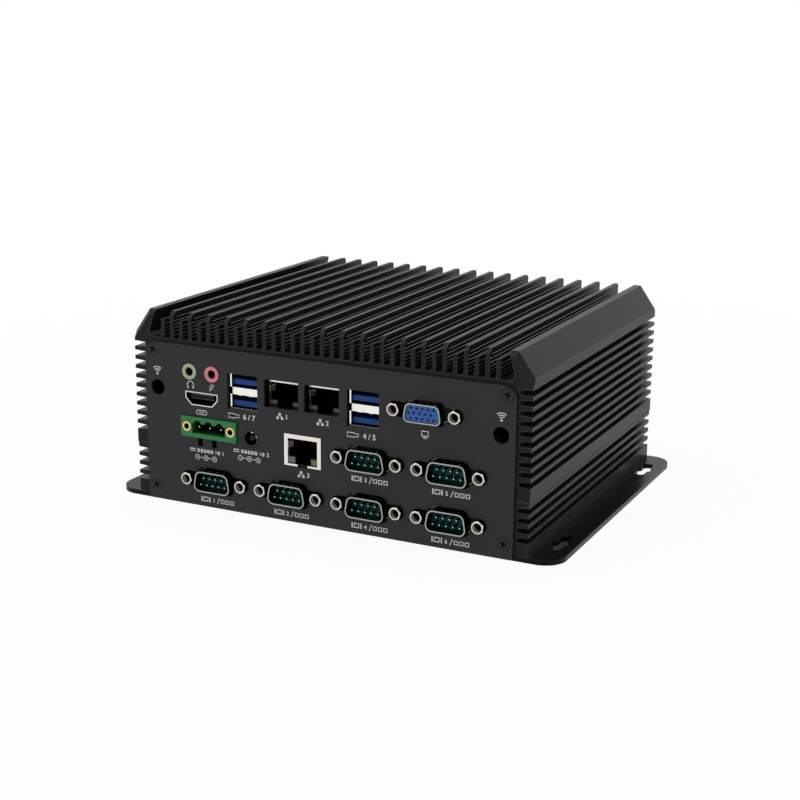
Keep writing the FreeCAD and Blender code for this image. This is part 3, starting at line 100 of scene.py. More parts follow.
def makeGroup(name, inputs, outputs):
    group = bpy.data.node_groups.new(name, "ShaderNodeTree")
    for label, value in inputs.items():
        kind = "NodeSocketVector" if isinstance(value, tuple) else "NodeSocketFloat"
        group.interface.new_socket(name=label, in_out="INPUT", socket_type=kind).default_value = value
    for label, kind in outputs.items():
        group.interface.new_socket(name=label, in_out="OUTPUT", socket_type=kind)
    return group, group.nodes.new("NodeGroupInput").outputs, group.nodes.new("NodeGroupOutput")


def useGroup(tree, group, **values):
    node = tree.nodes.new("ShaderNodeGroup")
    node.node_tree = group
    feed(tree, node, values)
    return node.outputs


noiseSpans = dict(grain=(0.3, 0.7), dust=(0.45, 0.8))  # the part of each noise that is used


def surfacePlace(group, output):
    return addNode(group, "ShaderNodeTexCoord").outputs[output]


def makeRelief(name, detail, roughness, distance):  # fine relief, drawn out along an axis by stretch
    group, entry, leave = makeGroup(name, dict(stretch=(1.0, 1.0, 1.0), scale=900.0, depth=0.1),
                                    dict(mask="NodeSocketFloat", bump="NodeSocketVector"))
    place = vectorMaths(group, "MULTIPLY", surfacePlace(group, "Object"), entry["stretch"])[0]
    noise = addNode(group, "ShaderNodeTexNoise", Vector=place, Scale=entry["scale"], Detail=detail,
                    Roughness=roughness).outputs["Fac"]
    bump = addNode(group, "ShaderNodeBump", Strength=entry["depth"], Distance=distance, Height=noise)
    feed(group, leave, dict(mask=noise, bump=bump.outputs["Normal"]))
    return group


# edges lightened both as rubbed wear and as a painted highlight along them
def makeWear():
    group, entry, leave = makeGroup("edgeWearAndHighlight", dict(radius=0.0003, sharpness=4.0),
                                    dict(mask="NodeSocketFloat"))
    plain = addNode(group, "ShaderNodeNewGeometry").outputs["Normal"]
    soft = addNode(group, "ShaderNodeBevel", samples=4, Radius=entry["radius"]).outputs["Normal"]
    turned = maths(group, "SUBTRACT", 1.0, vectorMaths(group, "DOT_PRODUCT", plain, soft)["Value"])
    feed(group, leave, dict(mask=maths(group, "MULTIPLY", turned, entry["sharpness"], clamp=True)))
    return group


def makeDust():
    group, entry, leave = makeGroup("handlingDust", dict(scale=40.0, amount=0.3), dict(mask="NodeSocketFloat"))
    noise = addNode(group, "ShaderNodeTexNoise", Vector=surfacePlace(group, "Object"), Scale=entry["scale"],
                    Detail=6.0, Roughness=0.65).outputs["Fac"]
    specks = ramp(group, noise, *noiseSpans["dust"], 0.0, 1.0)
    feed(group, leave, dict(mask=maths(group, "MULTIPLY", specks, entry["amount"])))
    return group


def splitAxes(group, output):
    return addNode(group, "ShaderNodeSeparateXYZ", surfacePlace(group, output)).outputs


def makeRecess():  # painted shade in recesses: grows from start to stop, as distances from the middle of the depth
    group, entry, leave = makeGroup("recessShade", dict(start=0.073, stop=0.07, amount=0.0),
                                    dict(mask="NodeSocketFloat"))
    depth = maths(group, "ABSOLUTE", splitAxes(group, "Object")["Y"])
    feed(group, leave, dict(mask=ramp(group, depth, entry["start"], entry["stop"], 0.0, entry["amount"])))
    return group


flankZone = dict(low=0.0665, high=0.0772, halfWidth=0.079, upright=0.97)


def makeFlank():  # painted shade on the upright sides of the top fins, from the roof up
    group, entry, leave = makeGroup("flankShade", dict(amount=0.0), dict(mask="NodeSocketFloat"))
    place = splitAxes(group, "Object")
    sideways = maths(group, "ABSOLUTE", splitAxes(group, "Normal")["X"])
    across = maths(group, "ABSOLUTE", place["X"])
    mask = entry["amount"]
    for part in (maths(group, "GREATER_THAN", sideways, flankZone["upright"]),
                 maths(group, "GREATER_THAN", place["Z"], flankZone["low"]),
                 maths(group, "LESS_THAN", place["Z"], flankZone["high"]),
                 maths(group, "LESS_THAN", across, flankZone["halfWidth"])):
        mask = maths(group, "MULTIPLY", mask, part)
    feed(group, leave, dict(mask=mask))
    return group


fineGrain = makeRelief("fineGrain", 4.0, 0.6, 0.00003)
drawnStreaks = makeRelief("drawnStreaks", 5.0, 0.7, 0.00002)
edgeWearAndHighlight = makeWear()
handlingDust = makeDust()
recessShade = makeRecess()
flankShade = makeFlank()

deepMetallic = 0.75  # takes the gloss off a moulding or a screw in its recesses, as part of the painted shade there


def metalFinish(name, look):
    material, tree, shader = newMaterial(name)
    grain = useGroup(tree, fineGrain, scale=look["grainScale"], depth=look["grain"])
    streaks = useGroup(tree, drawnStreaks, stretch=look["stretch"], scale=look["streakScale"],
                       depth=look["streaks"])
    dust = useGroup(tree, handlingDust, scale=look["dustScale"], amount=look["dust"])
    wear = useGroup(tree, edgeWearAndHighlight, radius=look["wearRadius"], sharpness=look["wearSharpness"])
    start, stop, amount = look["recess"]
    recess = useGroup(tree, recessShade, start=start, stop=stop, amount=amount)
    flank = useGroup(tree, flankShade, amount=look["flank"])
    # painted shade: recesses and the fin flanks are darkened towards the shade colour
    shaded = maths(tree, "MAXIMUM", recess["mask"], flank["mask"])
    wornAndHighlit = mixColour(tree, wear["mask"], look["colour"], look["edgeColour"])
    dusty = mixColour(tree, dust["mask"], wornAndHighlit, look["dustColour"])
    relief = vectorMaths(tree, "ADD", grain["bump"], streaks["bump"])[0]
    feed(tree, shader, {"Base Color": mixColour(tree, shaded, dusty, look["recessColour"]),
                        "Roughness": ramp(tree, grain["mask"], *noiseSpans["grain"], *look["rough"]),
                        "Metallic": look["metallic"], "Specular IOR Level": look["specular"],
                        "Normal": vectorMaths(tree, "NORMALIZE", relief)[0]})
    if look["metallic"] < 1 and amount > 0:
        feed(tree, shader, {"Metallic": ramp(tree, recess["mask"], 0.0, 1.0, look["metallic"], deepMetallic)})
    return material


def grey(level):
    return (level, level, level)


baseLook = dict(grainScale=2600.0, grain=0.18, stretch=(1.0, 0.04, 1.0), streakScale=900.0, streaks=0.08,
                dustScale=30.0, dust=0.15, wearRadius=0.00025, wearSharpness=2.5, metallic=0.0, specular=0.35,
                recess=(0.073, 0.07, 0.0), recessColour=grey(0.01), flank=0.0)  # recess: start, stop, amount of the painted shade in recesses
brushed = {**baseLook, "metallic": 1.0, "specular": 0.5}
plated = {**brushed, "wearRadius": 0.0001}
even = {**baseLook, "stretch": (1.0, 1.0, 1.0)}
moulded = {**even, "grainScale": 1600.0}


def look(base, colour, edgeColour, dustColour, rough, **changes):
    return {**base, "colour": colour, "edgeColour": edgeColour, "dustColour": dustColour, "rough": rough,
            **changes}


looks = {  # the colour, that of worn edges, which also paints a highlight along them, that of dust, and the least and most roughness; recess values paint shade into recesses
    # painted shade: flank=1.0 darkens the housing's fin flanks to its shade colour
    "anodisedHousing": look(baseLook, (0.0112, 0.0112, 0.0116), (0.16, 0.16, 0.165), (0.017, 0.017, 0.0175),
                            (0.34, 0.44), specular=0.13, wearRadius=0.0003, wearSharpness=3.5,
                            flank=1.0, recessColour=grey(0.003)),
    # painted highlight: a lighter copy of the housing's anodised finish for the ridge crests
    "ridgeHighlightMetal": look(baseLook, (0.022, 0.022, 0.023), grey(0.1), grey(0.03), (0.26, 0.36)),
    "anodisedPanel": look(even, (0.0135, 0.0135, 0.0138), (0.06, 0.06, 0.062), (0.018, 0.018, 0.0185),
                          (0.42, 0.52), specular=0.3, wearRadius=0.00015),
    "plateCoat": look(even, (0.003, 0.003, 0.0032), grey(0.05), grey(0.006), (0.22, 0.32),
                      grainScale=1400.0, grain=0.1, specular=0.1),
    "screwBlack": look(baseLook, (0.012, 0.012, 0.013), grey(0.1), grey(0.02), (0.26, 0.4), metallic=0.25,
                       wearRadius=0.0002, wearSharpness=3.0, recess=(0.07372, 0.0733, 0.96),
                       recessColour=grey(0.002)),
    "nickelShell": look(plated, (0.37, 0.37, 0.34), (0.4, 0.4, 0.37), (0.4, 0.38, 0.33), (0.12, 0.22),
                        dust=0.35, dustScale=180.0, recess=(0.07681, 0.07665, 0.92),
                        recessColour=(0.035, 0.033, 0.026)),
    "jackNickel": look(plated, (0.62, 0.6, 0.55), (0.85, 0.83, 0.78), (0.4, 0.38, 0.33), (0.12, 0.22),
                       dust=0.35, dustScale=180.0, recess=(0.0742, 0.0726, 0.93),
                       recessColour=(0.03, 0.026, 0.018)),
    # painted shade: a darker, shaded copy of the jackscrew nickel
    "jackShade": look(plated, (0.09, 0.087, 0.075), (0.4, 0.39, 0.35), (0.05, 0.048, 0.04), (0.14, 0.26),
                      dust=0.5, dustScale=400.0, recess=(0.0755, 0.0735, 0.9),
                      recessColour=(0.015, 0.014, 0.011)),
    "displayMetal": look(plated, (0.6, 0.59, 0.56), (0.66, 0.65, 0.62), (0.4, 0.39, 0.36), (0.2, 0.32),
                         dust=0.2, recess=(0.07385, 0.07355, 0.97)),
    "busMetal": look(plated, (0.88, 0.87, 0.84), (0.92, 0.9, 0.87), (0.7, 0.68, 0.62), (0.22, 0.34),
                     dust=0.2, recess=(0.07155, 0.0712, 0.95), recessColour=grey(0.012)),
    # painted shadow: a dark copy of the tin shield finish
    "tinShade": look(plated, (0.03, 0.03, 0.027), (0.2, 0.2, 0.18), (0.02, 0.02, 0.018), (0.2, 0.34)),
    "tinShield": look(plated, (0.78, 0.76, 0.7), (0.9, 0.88, 0.84), (0.55, 0.53, 0.47), (0.22, 0.36),
                      dust=0.3, dustScale=160.0, recess=(0.0707, 0.0695, 0.97)),
    "brassNut": look(plated, (0.68, 0.55, 0.24), (0.85, 0.74, 0.42), (0.4, 0.32, 0.12), (0.16, 0.3),
                     dust=0.4, dustScale=200.0, recess=(0.0746, 0.074, 0.9), recessColour=(0.03, 0.022, 0.008)),
    "goldContact": look(plated, (0.85, 0.68, 0.34), (0.95, 0.84, 0.55), (0.6, 0.45, 0.2), (0.16, 0.28)),
    "pinContact": look(plated, (0.62, 0.64, 0.6), (0.8, 0.82, 0.78), (0.4, 0.42, 0.4), (0.16, 0.28),
                       recess=(0.07594, 0.07586, 0.95), recessColour=(0.02, 0.045, 0.04)),
    "springMetal": look(plated, (0.6, 0.58, 0.5), (0.8, 0.78, 0.7), (0.4, 0.38, 0.3), (0.2, 0.32)),
    "darkContact": look(plated, (0.02, 0.02, 0.019), (0.15, 0.15, 0.14), grey(0.015), (0.12, 0.24)),
    "headerContact": look(plated, (0.8, 0.8, 0.78), (0.95, 0.95, 0.93), (0.5, 0.5, 0.48), (0.14, 0.24),
                          recess=(0.0732, 0.07305, 0.85), recessColour=(0.01, 0.02, 0.012)),
    "inletMetal": look(plated, (0.45, 0.44, 0.42), (0.8, 0.79, 0.76), (0.2, 0.2, 0.19), (0.08, 0.16),
                       recess=(0.0735, 0.0731, 0.97), recessColour=grey(0.004)),
    "bareAluminium": look(brushed, grey(0.62), grey(0.85), grey(0.4), (0.28, 0.42)),
    "inletMoulding": look(baseLook, grey(0.006), grey(0.05), grey(0.01), (0.1, 0.18), specular=0.45,
                          wearRadius=0.0004, recess=(0.0735, 0.0725, 0.9), recessColour=grey(0.003)),
    "tealMoulding": look(moulded, (0.0005, 0.075, 0.08), (0.005, 0.13, 0.13), (0.001, 0.045, 0.05),
                         (0.3, 0.42), specular=0.15),
    "tongueBlue": look(moulded, (0.007, 0.06, 0.27), (0.04, 0.17, 0.5), (0.004, 0.035, 0.17), (0.18, 0.3),
                       specular=0.2, wearRadius=0.0003),
    "blueMoulding": look(moulded, (0.022, 0.095, 0.36), (0.08, 0.2, 0.55), (0.015, 0.06, 0.25), (0.3, 0.42),
                         specular=0.45),
    "blackMoulding": look(moulded, grey(0.008), grey(0.03), grey(0.014), (0.32, 0.45),
                          recess=(0.0739, 0.0732, 0.9), recessColour=grey(0.003)),
    "limeMoulding": look(moulded, (0.4, 0.5, 0.3), (0.55, 0.65, 0.45), (0.27, 0.36, 0.19), (0.28, 0.4),
                         specular=0.45, recess=(0.07425, 0.0734, 0.9), recessColour=(0.02, 0.06, 0.015)),
    "pinkMoulding": look(moulded, (0.76, 0.22, 0.27), (0.88, 0.45, 0.48), (0.55, 0.13, 0.17), (0.28, 0.4),
                         specular=0.45, recess=(0.07425, 0.0734, 0.9), recessColour=(0.14, 0.01, 0.02)),
    "greenMoulding": look(moulded, (0.024, 0.2, 0.055), (0.06, 0.32, 0.12), (0.014, 0.13, 0.034), (0.34, 0.46),
                          grainScale=1200.0, recess=(0.0745, 0.069, 0.92), recessColour=(0.001, 0.014, 0.003)),
    "boardMask": look(baseLook, (0.006, 0.05, 0.018), (0.25, 0.2, 0.1), (0.01, 0.07, 0.028), (0.25, 0.4),
                      dust=0.5, dustScale=500.0, specular=0.5),
    "chipEpoxy": look(baseLook, grey(0.012), grey(0.05), grey(0.02), (0.35, 0.5), specular=0.4),
    "padSilicone": look(baseLook, (0.3, 0.33, 0.38), (0.4, 0.43, 0.48), (0.2, 0.23, 0.28), (0.6, 0.8),
                        specular=0.2),
    "printInk": look(baseLook, (0.8, 0.8, 0.78), (0.8, 0.8, 0.78), (0.6, 0.6, 0.59), (0.5, 0.7),
                     dust=0.4, dustScale=900.0, grainScale=3000.0, specular=0.2),
    "paintedGapShade": look(baseLook, grey(0.003), grey(0.004), grey(0.004), (0.6, 0.8), specular=0.1),
}
finishes = {name: metalFinish(name, values) for name, values in looks.items()}

windowLook = dict(grainScale=900.0, grain=0.15, cloud=0.7, roughness=0.22, transmission=0.35, coat=0.4)
windowTints = dict(clearWindow=(0.22, 0.21, 0.19), smokedWindow=(0.03, 0.03, 0.028),
                   amberWindow=(0.2, 0.21, 0.008), greenWindow=(0.1, 0.5, 0.12))


def windowFinish(name, tint):
    material, tree, shader = newMaterial(name)
    v = windowLook
    grain = useGroup(tree, fineGrain, scale=v["grainScale"], depth=v["grain"])
    cloud = mixColour(tree, grain["mask"], tint, [c * v["cloud"] for c in tint])
    feed(tree, shader, {"Base Color": cloud, "Roughness": v["roughness"],
                        "Transmission Weight": v["transmission"], "Coat Weight": v["coat"],
                        "Normal": grain["bump"]})
    return material


for name, tint in windowTints.items():
    finishes[name] = windowFinish(name, tint)
print("finishes ready:", len(finishes))

finishStarts = {  # what the names of a finish's nodes start with; the first that fits is taken
    "anodisedHousing": ("top_housing", "lower_housing"),
    "anodisedPanel": ("front_panel", "rear_panel"),
    "screwBlack": ("panel_screws", "base_plate_screws"),
    "plateCoat": ("base_plate",),
    "jackNickel": ("jackscrews",),
    "nickelShell": ("com_shell", "vga_shell"),
    "displayMetal": ("hdmi_shell",),
    "busMetal": ("usb_shell",),
    "tinShield": ("lan_shield", "power_button_nut", "board_screws"),
    "brassNut": ("power_terminal_nuts", "board_standoffs"),
    "goldContact": ("com_pins",),
    "headerContact": ("power_terminal_pins",),
    "darkContact": ("dc_jack_pin",),
    "inletMoulding": ("dc_jack_body",),
    "tealMoulding": ("com_insulator",),
    "blueMoulding": ("vga_insulator",),
    "tongueBlue": ("usb_tongues",),
    "limeMoulding": ("line_out_jack",),
    "pinkMoulding": ("microphone_jack",),
    "greenMoulding": ("power_terminal_block",),
    "clearWindow": ("lan_status_windows",),
    "greenWindow": ("status_lights",),
    "boardMask": ("main_board", "io_board"),
    "chipEpoxy": ("processor", "memory_module"),
    "padSilicone": ("thermal_pad",),
    "bareAluminium": ("heat_block", "storage_drive", "power_button"),
    "blackMoulding": ("",),  # every other node
}

for name, thing in nodes.items():
    thing.data.materials.clear()
    finish = next(key for key, starts in finishStarts.items() if name.startswith(starts))
    thing.data.materials.append(finishes[finish])
print("nodes finished")


def place(name, mesh, finish, slot):
    thing = bpy.data.objects.new(name, mesh)
    bpy.context.scene.collection.objects.link(thing)
    mesh.materials.clear()
    mesh.materials.append(finishes[finish])
    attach(thing, "chassis")
    return thing


def meshFrom(name, build):
    work = bmesh.new()
    build(work)
    bmesh.ops.remove_doubles(work, verts=work.verts, dist=1e-7)
    bmesh.ops.recalc_face_normals(work, faces=work.faces)
    mesh = bpy.data.meshes.new(name)
    work.to_mesh(mesh)
    work.free()
    return mesh


def islands(node):  # the points of each separate solid of a node
    work = bmesh.new()
    work.from_mesh(nodes[node].data)
    bmesh.ops.remove_doubles(work, verts=work.verts, dist=1e-6)
    seen = set()
    found = []
    for vert in work.verts:
        if vert in seen:
            continue
        stack = [vert]
        seen.add(vert)
        points = []
        while stack:
            current = stack.pop()
            points.append(current.co.copy())
            for edge in current.link_edges:
                other = edge.other_vert(current)
                if other not in seen:
                    seen.add(other)
                    stack.append(other)
        found.append(points)
    work.free()
    return found


def limits(points):  # lowest corner, highest corner and middle
    low = Vector([min(p[i] for p in points) for i in range(3)])
    high = Vector([max(p[i] for p in points) for i in range(3)])
    return low, high, (low + high) / 2


def bridge(work, *outlines):  # walls from each outline to the next, and a face on both ends
    work.faces.new(outlines[0])
    work.faces.new(outlines[-1][::-1])
    for near, far in zip(outlines, outlines[1:]):
        for i in range(len(near)):
            j = (i + 1) % len(near)
            work.faces.new((near[i], far[i], far[j], near[j]))


def addPrism(work, outline, start, stop):  # an outline of x and z, drawn out along y
    bridge(work, *[[work.verts.new((x, y, z)) for x, z in outline] for y in (start, stop)])


def addBar(work, low, high):
    x0, y0, z0 = low
    x1, y1, z1 = high
    addPrism(work, [(x0, z0), (x1, z0), (x1, z1), (x0, z1)], y0, y1)


def addSidePrism(work, outline, start, stop):  # an outline of y and z, drawn out along x
    bridge(work, *[[work.verts.new((x, y, z)) for y, z in outline] for x in (start, stop)])


def addPost(work, outline, start, stop):  # an outline of x and y, drawn out along z
    bridge(work, *[[work.verts.new((x, y, z)) for x, y in outline] for z in (start, stop)])


def addTurned(work, profile, centre, axis, turns):  # a profile of radius and height, closed at both ends
    axis = Vector(axis).normalized()
    side = axis.orthogonal().normalized()
    up = axis.cross(side)
    centre = Vector(centre)
    first = work.verts.new(centre + axis * profile[0][1])
    last = work.verts.new(centre + axis * profile[-1][1])
    inner = profile[1:-1]
    rows = []
    for k in range(turns):
        angle = 2 * math.pi * k / turns
        out = side * math.cos(angle) + up * math.sin(angle)
        rows.append([work.verts.new(centre + out * r + axis * a) for r, a in inner])
    for k in range(turns):
        n = (k + 1) % turns
        work.faces.new((first, rows[n][0], rows[k][0]))
        work.faces.new((last, rows[k][-1], rows[n][-1]))
        for i in range(len(inner) - 1):
            work.faces.new((rows[k][i], rows[n][i], rows[n][i + 1], rows[k][i + 1]))


def smooth(thing, angle):
    thing.data.shade_smooth()
    thing.data.set_sharp_from_angle(angle=math.radians(angle))


finRidges = dict(pitch=8.47, tallHalf=0.775, shortHalf=0.75, tallFins=17, rise=0.2, root=0.05, width=0.55,
                 endGap=0.4, shortLevels=(69.3, 70.7, 72.1, 73.5),
                 tallLevels=(69.3, 70.7, 72.1, 73.5, 74.9, 76.3), slopeFrom=75, slopeInset=1.7)


def buildRidges(work):
    v = finRidges
    low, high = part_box("top_housing")
    start = low.y + v["endGap"] * mm
    stop = high.y - v["endGap"] * mm
    half = v["width"] * mm / 2
    middle = (v["tallFins"] - 1) / 2
    fins = [((index - middle) * v["pitch"], v["tallHalf"], v["tallLevels"]) for index in range(v["tallFins"])]
    fins += [((index - middle - 0.5) * v["pitch"], v["shortHalf"], v["shortLevels"])
             for index in range(v["tallFins"] + 1)]
    for centre, thick, levels in fins:
        for way in (-1, 1):
            x = (centre + way * thick) * mm
            peak = x + way * v["rise"] * mm
            root = x - way * v["root"] * mm
            for level in levels:
                z = level * mm
                inset = v["slopeInset"] * mm if level > v["slopeFrom"] else 0
                addPrism(work, [(root, z - half), (peak, z), (root, z + half)], start + inset, stop - inset)


# the ridges take the painted highlight finish
place("finRidges", meshFrom("finRidges", buildRidges), "ridgeHighlightMetal", "anodised_housing")
print("fin ridges placed")

screwHead = dict(headRadius=2.52, rimRound=0.12, sunk=0.1, turns=40,
                 shankRadius=1.45, coneDepth=1.15, threadDepth=0.18, threadPitch=0.5, plainEnd=0.6, point=0.7,
                 arm=0.42, reach=1.5, depth=1.0, proud=0.3, mouth=1.05, foot=0.72)  # the cross recess


def buildScrew(work, length):
    v = screwHead
    shank = v["shankRadius"] * mm
    threads = []
    z = v["coneDepth"] * mm
    while z < length - v["plainEnd"] * mm:
        threads += [(shank, z), (shank - v["threadDepth"] * mm, z + v["threadPitch"] / 2 * mm)]
        z += v["threadPitch"] * mm
    head = [(0, 0), (v["headRadius"] * mm - v["rimRound"] * mm, 0), (v["headRadius"] * mm, v["rimRound"] * mm)]
    addTurned(work, head + threads + [(shank * v["point"], length), (0, length)], (0, 0, 0), (0, 0, 1),
              v["turns"])


def buildCutter(work):
    v = screwHead
    a = v["arm"] * mm
    r = v["reach"] * mm
    cross = [(a, a), (a, r), (-a, r), (-a, a), (-r, a), (-r, -a), (-a, -a), (-a, -r), (a, -r), (a, -a),
             (r, -a), (r, a)]
    bridge(work, *[[work.verts.new((x * share, y * share, z * mm)) for x, y in cross]
                   for share, z in ((v["mouth"], -v["proud"]), (v["foot"], v["depth"]))])


def makeScrew(name, length):
    body = bpy.data.objects.new(name, meshFrom(name, lambda work: buildScrew(work, length)))
    cutter = bpy.data.objects.new(name + "Cutter", meshFrom(name + "Cutter", buildCutter))
    for thing in (body, cutter):
        bpy.context.scene.collection.objects.link(thing)
    change = body.modifiers.new("recess", "BOOLEAN")
    change.operation = "DIFFERENCE"
    change.solver = "EXACT"
    change.object = cutter
    mesh = bpy.data.meshes.new_from_object(body.evaluated_get(bpy.context.evaluated_depsgraph_get()))
    bpy.data.objects.remove(body)
    bpy.data.objects.remove(cutter)
    return mesh


def joinMeshes(name, items):
    work = bmesh.new()
    for mesh, matrix in items:
        copy = mesh.copy()
        copy.transform(matrix)
        work.from_mesh(copy)
        bpy.data.meshes.remove(copy)
    mesh = bpy.data.meshes.new(name)
    work.to_mesh(mesh)
    work.free()
    return mesh


def placeScrews(name, node, length):  # a panel's screws point inwards, the plate's point up
    template = makeScrew(name + "Template", length * mm)
    items = []
    sunk = screwHead["sunk"] * mm
    for points in islands(node):
        low, high, centre = limits(points)
        spin = Matrix.Rotation(random.uniform(0, math.pi), 4, "Z")
        if node == "base_plate_screws":
            seat = Matrix.Translation((centre.x, centre.y, low.z + sunk))
        else:
            y, turn = (low.y + sunk, -math.pi / 2) if centre.y < 0 else (high.y - sunk, math.pi / 2)
            seat = Matrix.Translation((centre.x, y, centre.z)) @ Matrix.Rotation(turn, 4, "X")
        items.append((template, seat @ spin))
    thing = place(name, joinMeshes(name, items), "screwBlack", "screw_black")
    bpy.data.meshes.remove(template)
    smooth(thing, 30)
    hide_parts(node)


placeScrews("panelScrews", "panel_screws", 8.35)
placeScrews("plateScrews", "base_plate_screws", 6.3)
print("screws placed")

jackscrew = dict(flats=4.75, bevel=0.4, bevelSteps=3, bevelShare=0.96, bevelPower=1.4, bore=1.25, lead=0.6,
                 boreDepth=4.3, threadPitch=0.45, threadDepth=0.2, turns=36, boreRow=5)


def buildJackscrew(work, centre, front, back, angle):
    v = jackscrew
    flat = v["flats"] * mm / 2
    corner = flat / math.cos(math.pi / 6)
    bevel = v["bevel"] * mm
    bore = v["bore"] * mm
    turns = v["turns"]
    rings = []

    def ring(y, most, hexagonal=False):
        row = []
        for k in range(turns):
            a = 2 * math.pi * k / turns + angle
            r = min(flat / math.cos((a - angle) % (math.pi / 3) - math.pi / 6), most) if hexagonal else most
            row.append(work.verts.new((centre.x + r * math.cos(a), y, centre.z + r * math.sin(a))))
        rings.append(row)

    ring(back, math.inf, True)
    ring(front + bevel, math.inf, True)
    for step in range(1, v["bevelSteps"] + 1):
        share = step / v["bevelSteps"]
        ring(front + bevel * (1 - share) ** v["bevelPower"], corner - (corner - flat * v["bevelShare"]) * share,
             True)
    ring(front, bore + v["lead"] * mm)
    y = front + v["lead"] * mm
    ring(y, bore)
    while y < front + v["boreDepth"] * mm - v["threadPitch"] * mm:
        ring(y + v["threadPitch"] * mm / 2, bore + v["threadDepth"] * mm)
        y += v["threadPitch"] * mm
        ring(y, bore)
    for row, (a, b) in enumerate(zip(rings, rings[1:])):
        for k in range(turns):
            n = (k + 1) % turns
            face = work.faces.new((a[k], a[n], b[n], b[k]))
            # painted shade: the hex sides and the bore take material 1, the shaded copy of the nickel
            face.material_index = 1 if row == 0 or row >= v["boreRow"] else 0
    work.faces.new(rings[0][::-1])
    work.faces.new(rings[-1]).material_index = 1


def buildJackscrews(work):
    for points in islands("jackscrews"):
        low, high, centre = limits(points)
        far = max(points, key=lambda p: (p.x - centre.x) ** 2 + (p.z - centre.z) ** 2)
        buildJackscrew(work, centre, low.y, high.y, math.atan2(far.z - centre.z, far.x - centre.x))


jackMesh = meshFrom("jackscrewSet", buildJackscrews)
jackShades = [face.material_index for face in jackMesh.polygons]  # kept over the change of materials
jacks = place("jackscrewSet", jackMesh, "jackNickel", "nickel")
jackMesh.materials.append(finishes["jackShade"])
jackMesh.polygons.foreach_set("material_index", jackShades)
smooth(jacks, 32)
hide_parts("jackscrews")
print("jackscrews placed")

serialPin = dict(radius=0.5, tip=0.42, chamfer=0.02, turns=16,
                 nose=((0.72, 0.3), (0.93, 0.65)), blunt=0.38)  # shares of the radius and of the tip


def buildPins(work):
    v = serialPin
    r = v["radius"] * mm
    t = v["tip"] * mm
    c = v["chamfer"] * mm
    for points in islands("com_pins"):
        low, high, centre = limits(points)
        length = high.y - low.y
        profile = [(0, 0), (r * v["blunt"], c), *[(r * a, t * b) for a, b in v["nose"]], (r, t),
                   (r, length - c), (0, length)]
        addTurned(work, profile, (centre.x, low.y, centre.z), (0, 1, 0), v["turns"])


pins = place("serialPins", meshFrom("serialPins", buildPins), "pinContact", "gold_pin")
smooth(pins, 50)
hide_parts("com_pins")

headerPin = dict(tip=0.2, half=0.5, taper=0.75)


def buildHeaderPins(work):
    v = headerPin
    for points in islands("power_terminal_pins"):
        low, high, centre = limits(points)
        bridge(work, *[[work.verts.new((centre.x + a * half * mm, y, centre.z + b * half * mm))
                        for a, b in ((-1, -1), (1, -1), (1, 1), (-1, 1))]
                       for half, y in ((v["tip"], low.y), (v["half"], low.y + v["taper"] * mm),
                                       (v["half"], high.y))])


headerPins = place("headerPins", meshFrom("headerPins", buildHeaderPins), "headerContact", "gold_pin")
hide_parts("power_terminal_pins")


def rowOf(middle, count, pitch):  # the middles of contacts side by side
    return [middle + (index - (count - 1) / 2) * pitch * mm for index in range(count)]


displayContacts = dict(count=10, pitch=1.0, width=0.55, start=0.08, run=6.0, thick=0.07, sunk=0.01)


def buildDisplayContacts(work):
    v = displayContacts
    low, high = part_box("hdmi_tongue")
    half = v["width"] * mm / 2
    for x in rowOf((low.x + high.x) / 2, v["count"], v["pitch"]):
        for z0, z1 in ((high.z - v["sunk"] * mm, high.z + v["thick"] * mm),
                       (low.z - v["thick"] * mm, low.z + v["sunk"] * mm)):
            addBar(work, (x - half, low.y + v["start"] * mm, z0), (x + half, low.y + v["run"] * mm, z1))


lanContacts = dict(count=8, pitch=1.02, width=0.45, thick=0.3, drop=4.6, setback=2.2, run=7.0, roof=1.75,
                   lean=0.1)


def buildLanContacts(work):
    v = lanContacts
    half = v["width"] * mm / 2
    t = v["thick"] * mm
    for number in (1, 2, 3):
        low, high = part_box(f"lan_shield_{number}")
        roof = high.z - v["roof"] * mm
        y = low.y + v["setback"] * mm
        end = y + v["run"] * mm
        foot = roof - v["drop"] * mm
        for x in rowOf((low.x + high.x) / 2, v["count"], v["pitch"]):
            addSidePrism(work, [(y, roof), (end, foot), (end, foot - t), (y - v["lean"] * mm, roof - t)],
                         x - half, x + half)


place("displayContacts", meshFrom("displayContacts", buildDisplayContacts), "springMetal", "gold_pin")
place("networkContacts", meshFrom("networkContacts", buildLanContacts), "goldContact", "gold_pin")

windows = nodes["lan_status_windows"]
for finish in ("amberWindow", "smokedWindow"):
    windows.data.materials.append(finishes[finish])
shieldMiddles = {number: sum(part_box(f"lan_shield_{number}"), Vector()) / 2 for number in (1, 2, 3)}
for face in windows.data.polygons:  # darker on the upper sockets, amber on the right of the lower one
    owner = min(shieldMiddles, key=lambda number: (shieldMiddles[number] - face.center).length)
    if owner != 3:
        face.material_index = 2
    else:
        face.material_index = 1 if face.center.x > shieldMiddles[owner].x else 0

# painted shadow: the left rims of the upper sockets' shields take the dark copy of the tin
rimShade = dict(wide=1.7, behind=0.15)
for number in (1, 2):
    shield = nodes[f"lan_shield_{number}"].data
    shield.materials.append(finishes["tinShade"])
    low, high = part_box(f"lan_shield_{number}")
    for face in shield.polygons:
        spots = [shield.vertices[i].co for i in face.vertices]
        if all(p.x < low.x + rimShade["wide"] * mm and p.y < low.y + rimShade["behind"] * mm for p in spots):
            face.material_index = 1

busContacts = dict(count=4, pitch=2.3, width=1.0, start=0.8, run=6.5, thick=0.06, sunk=0.02)


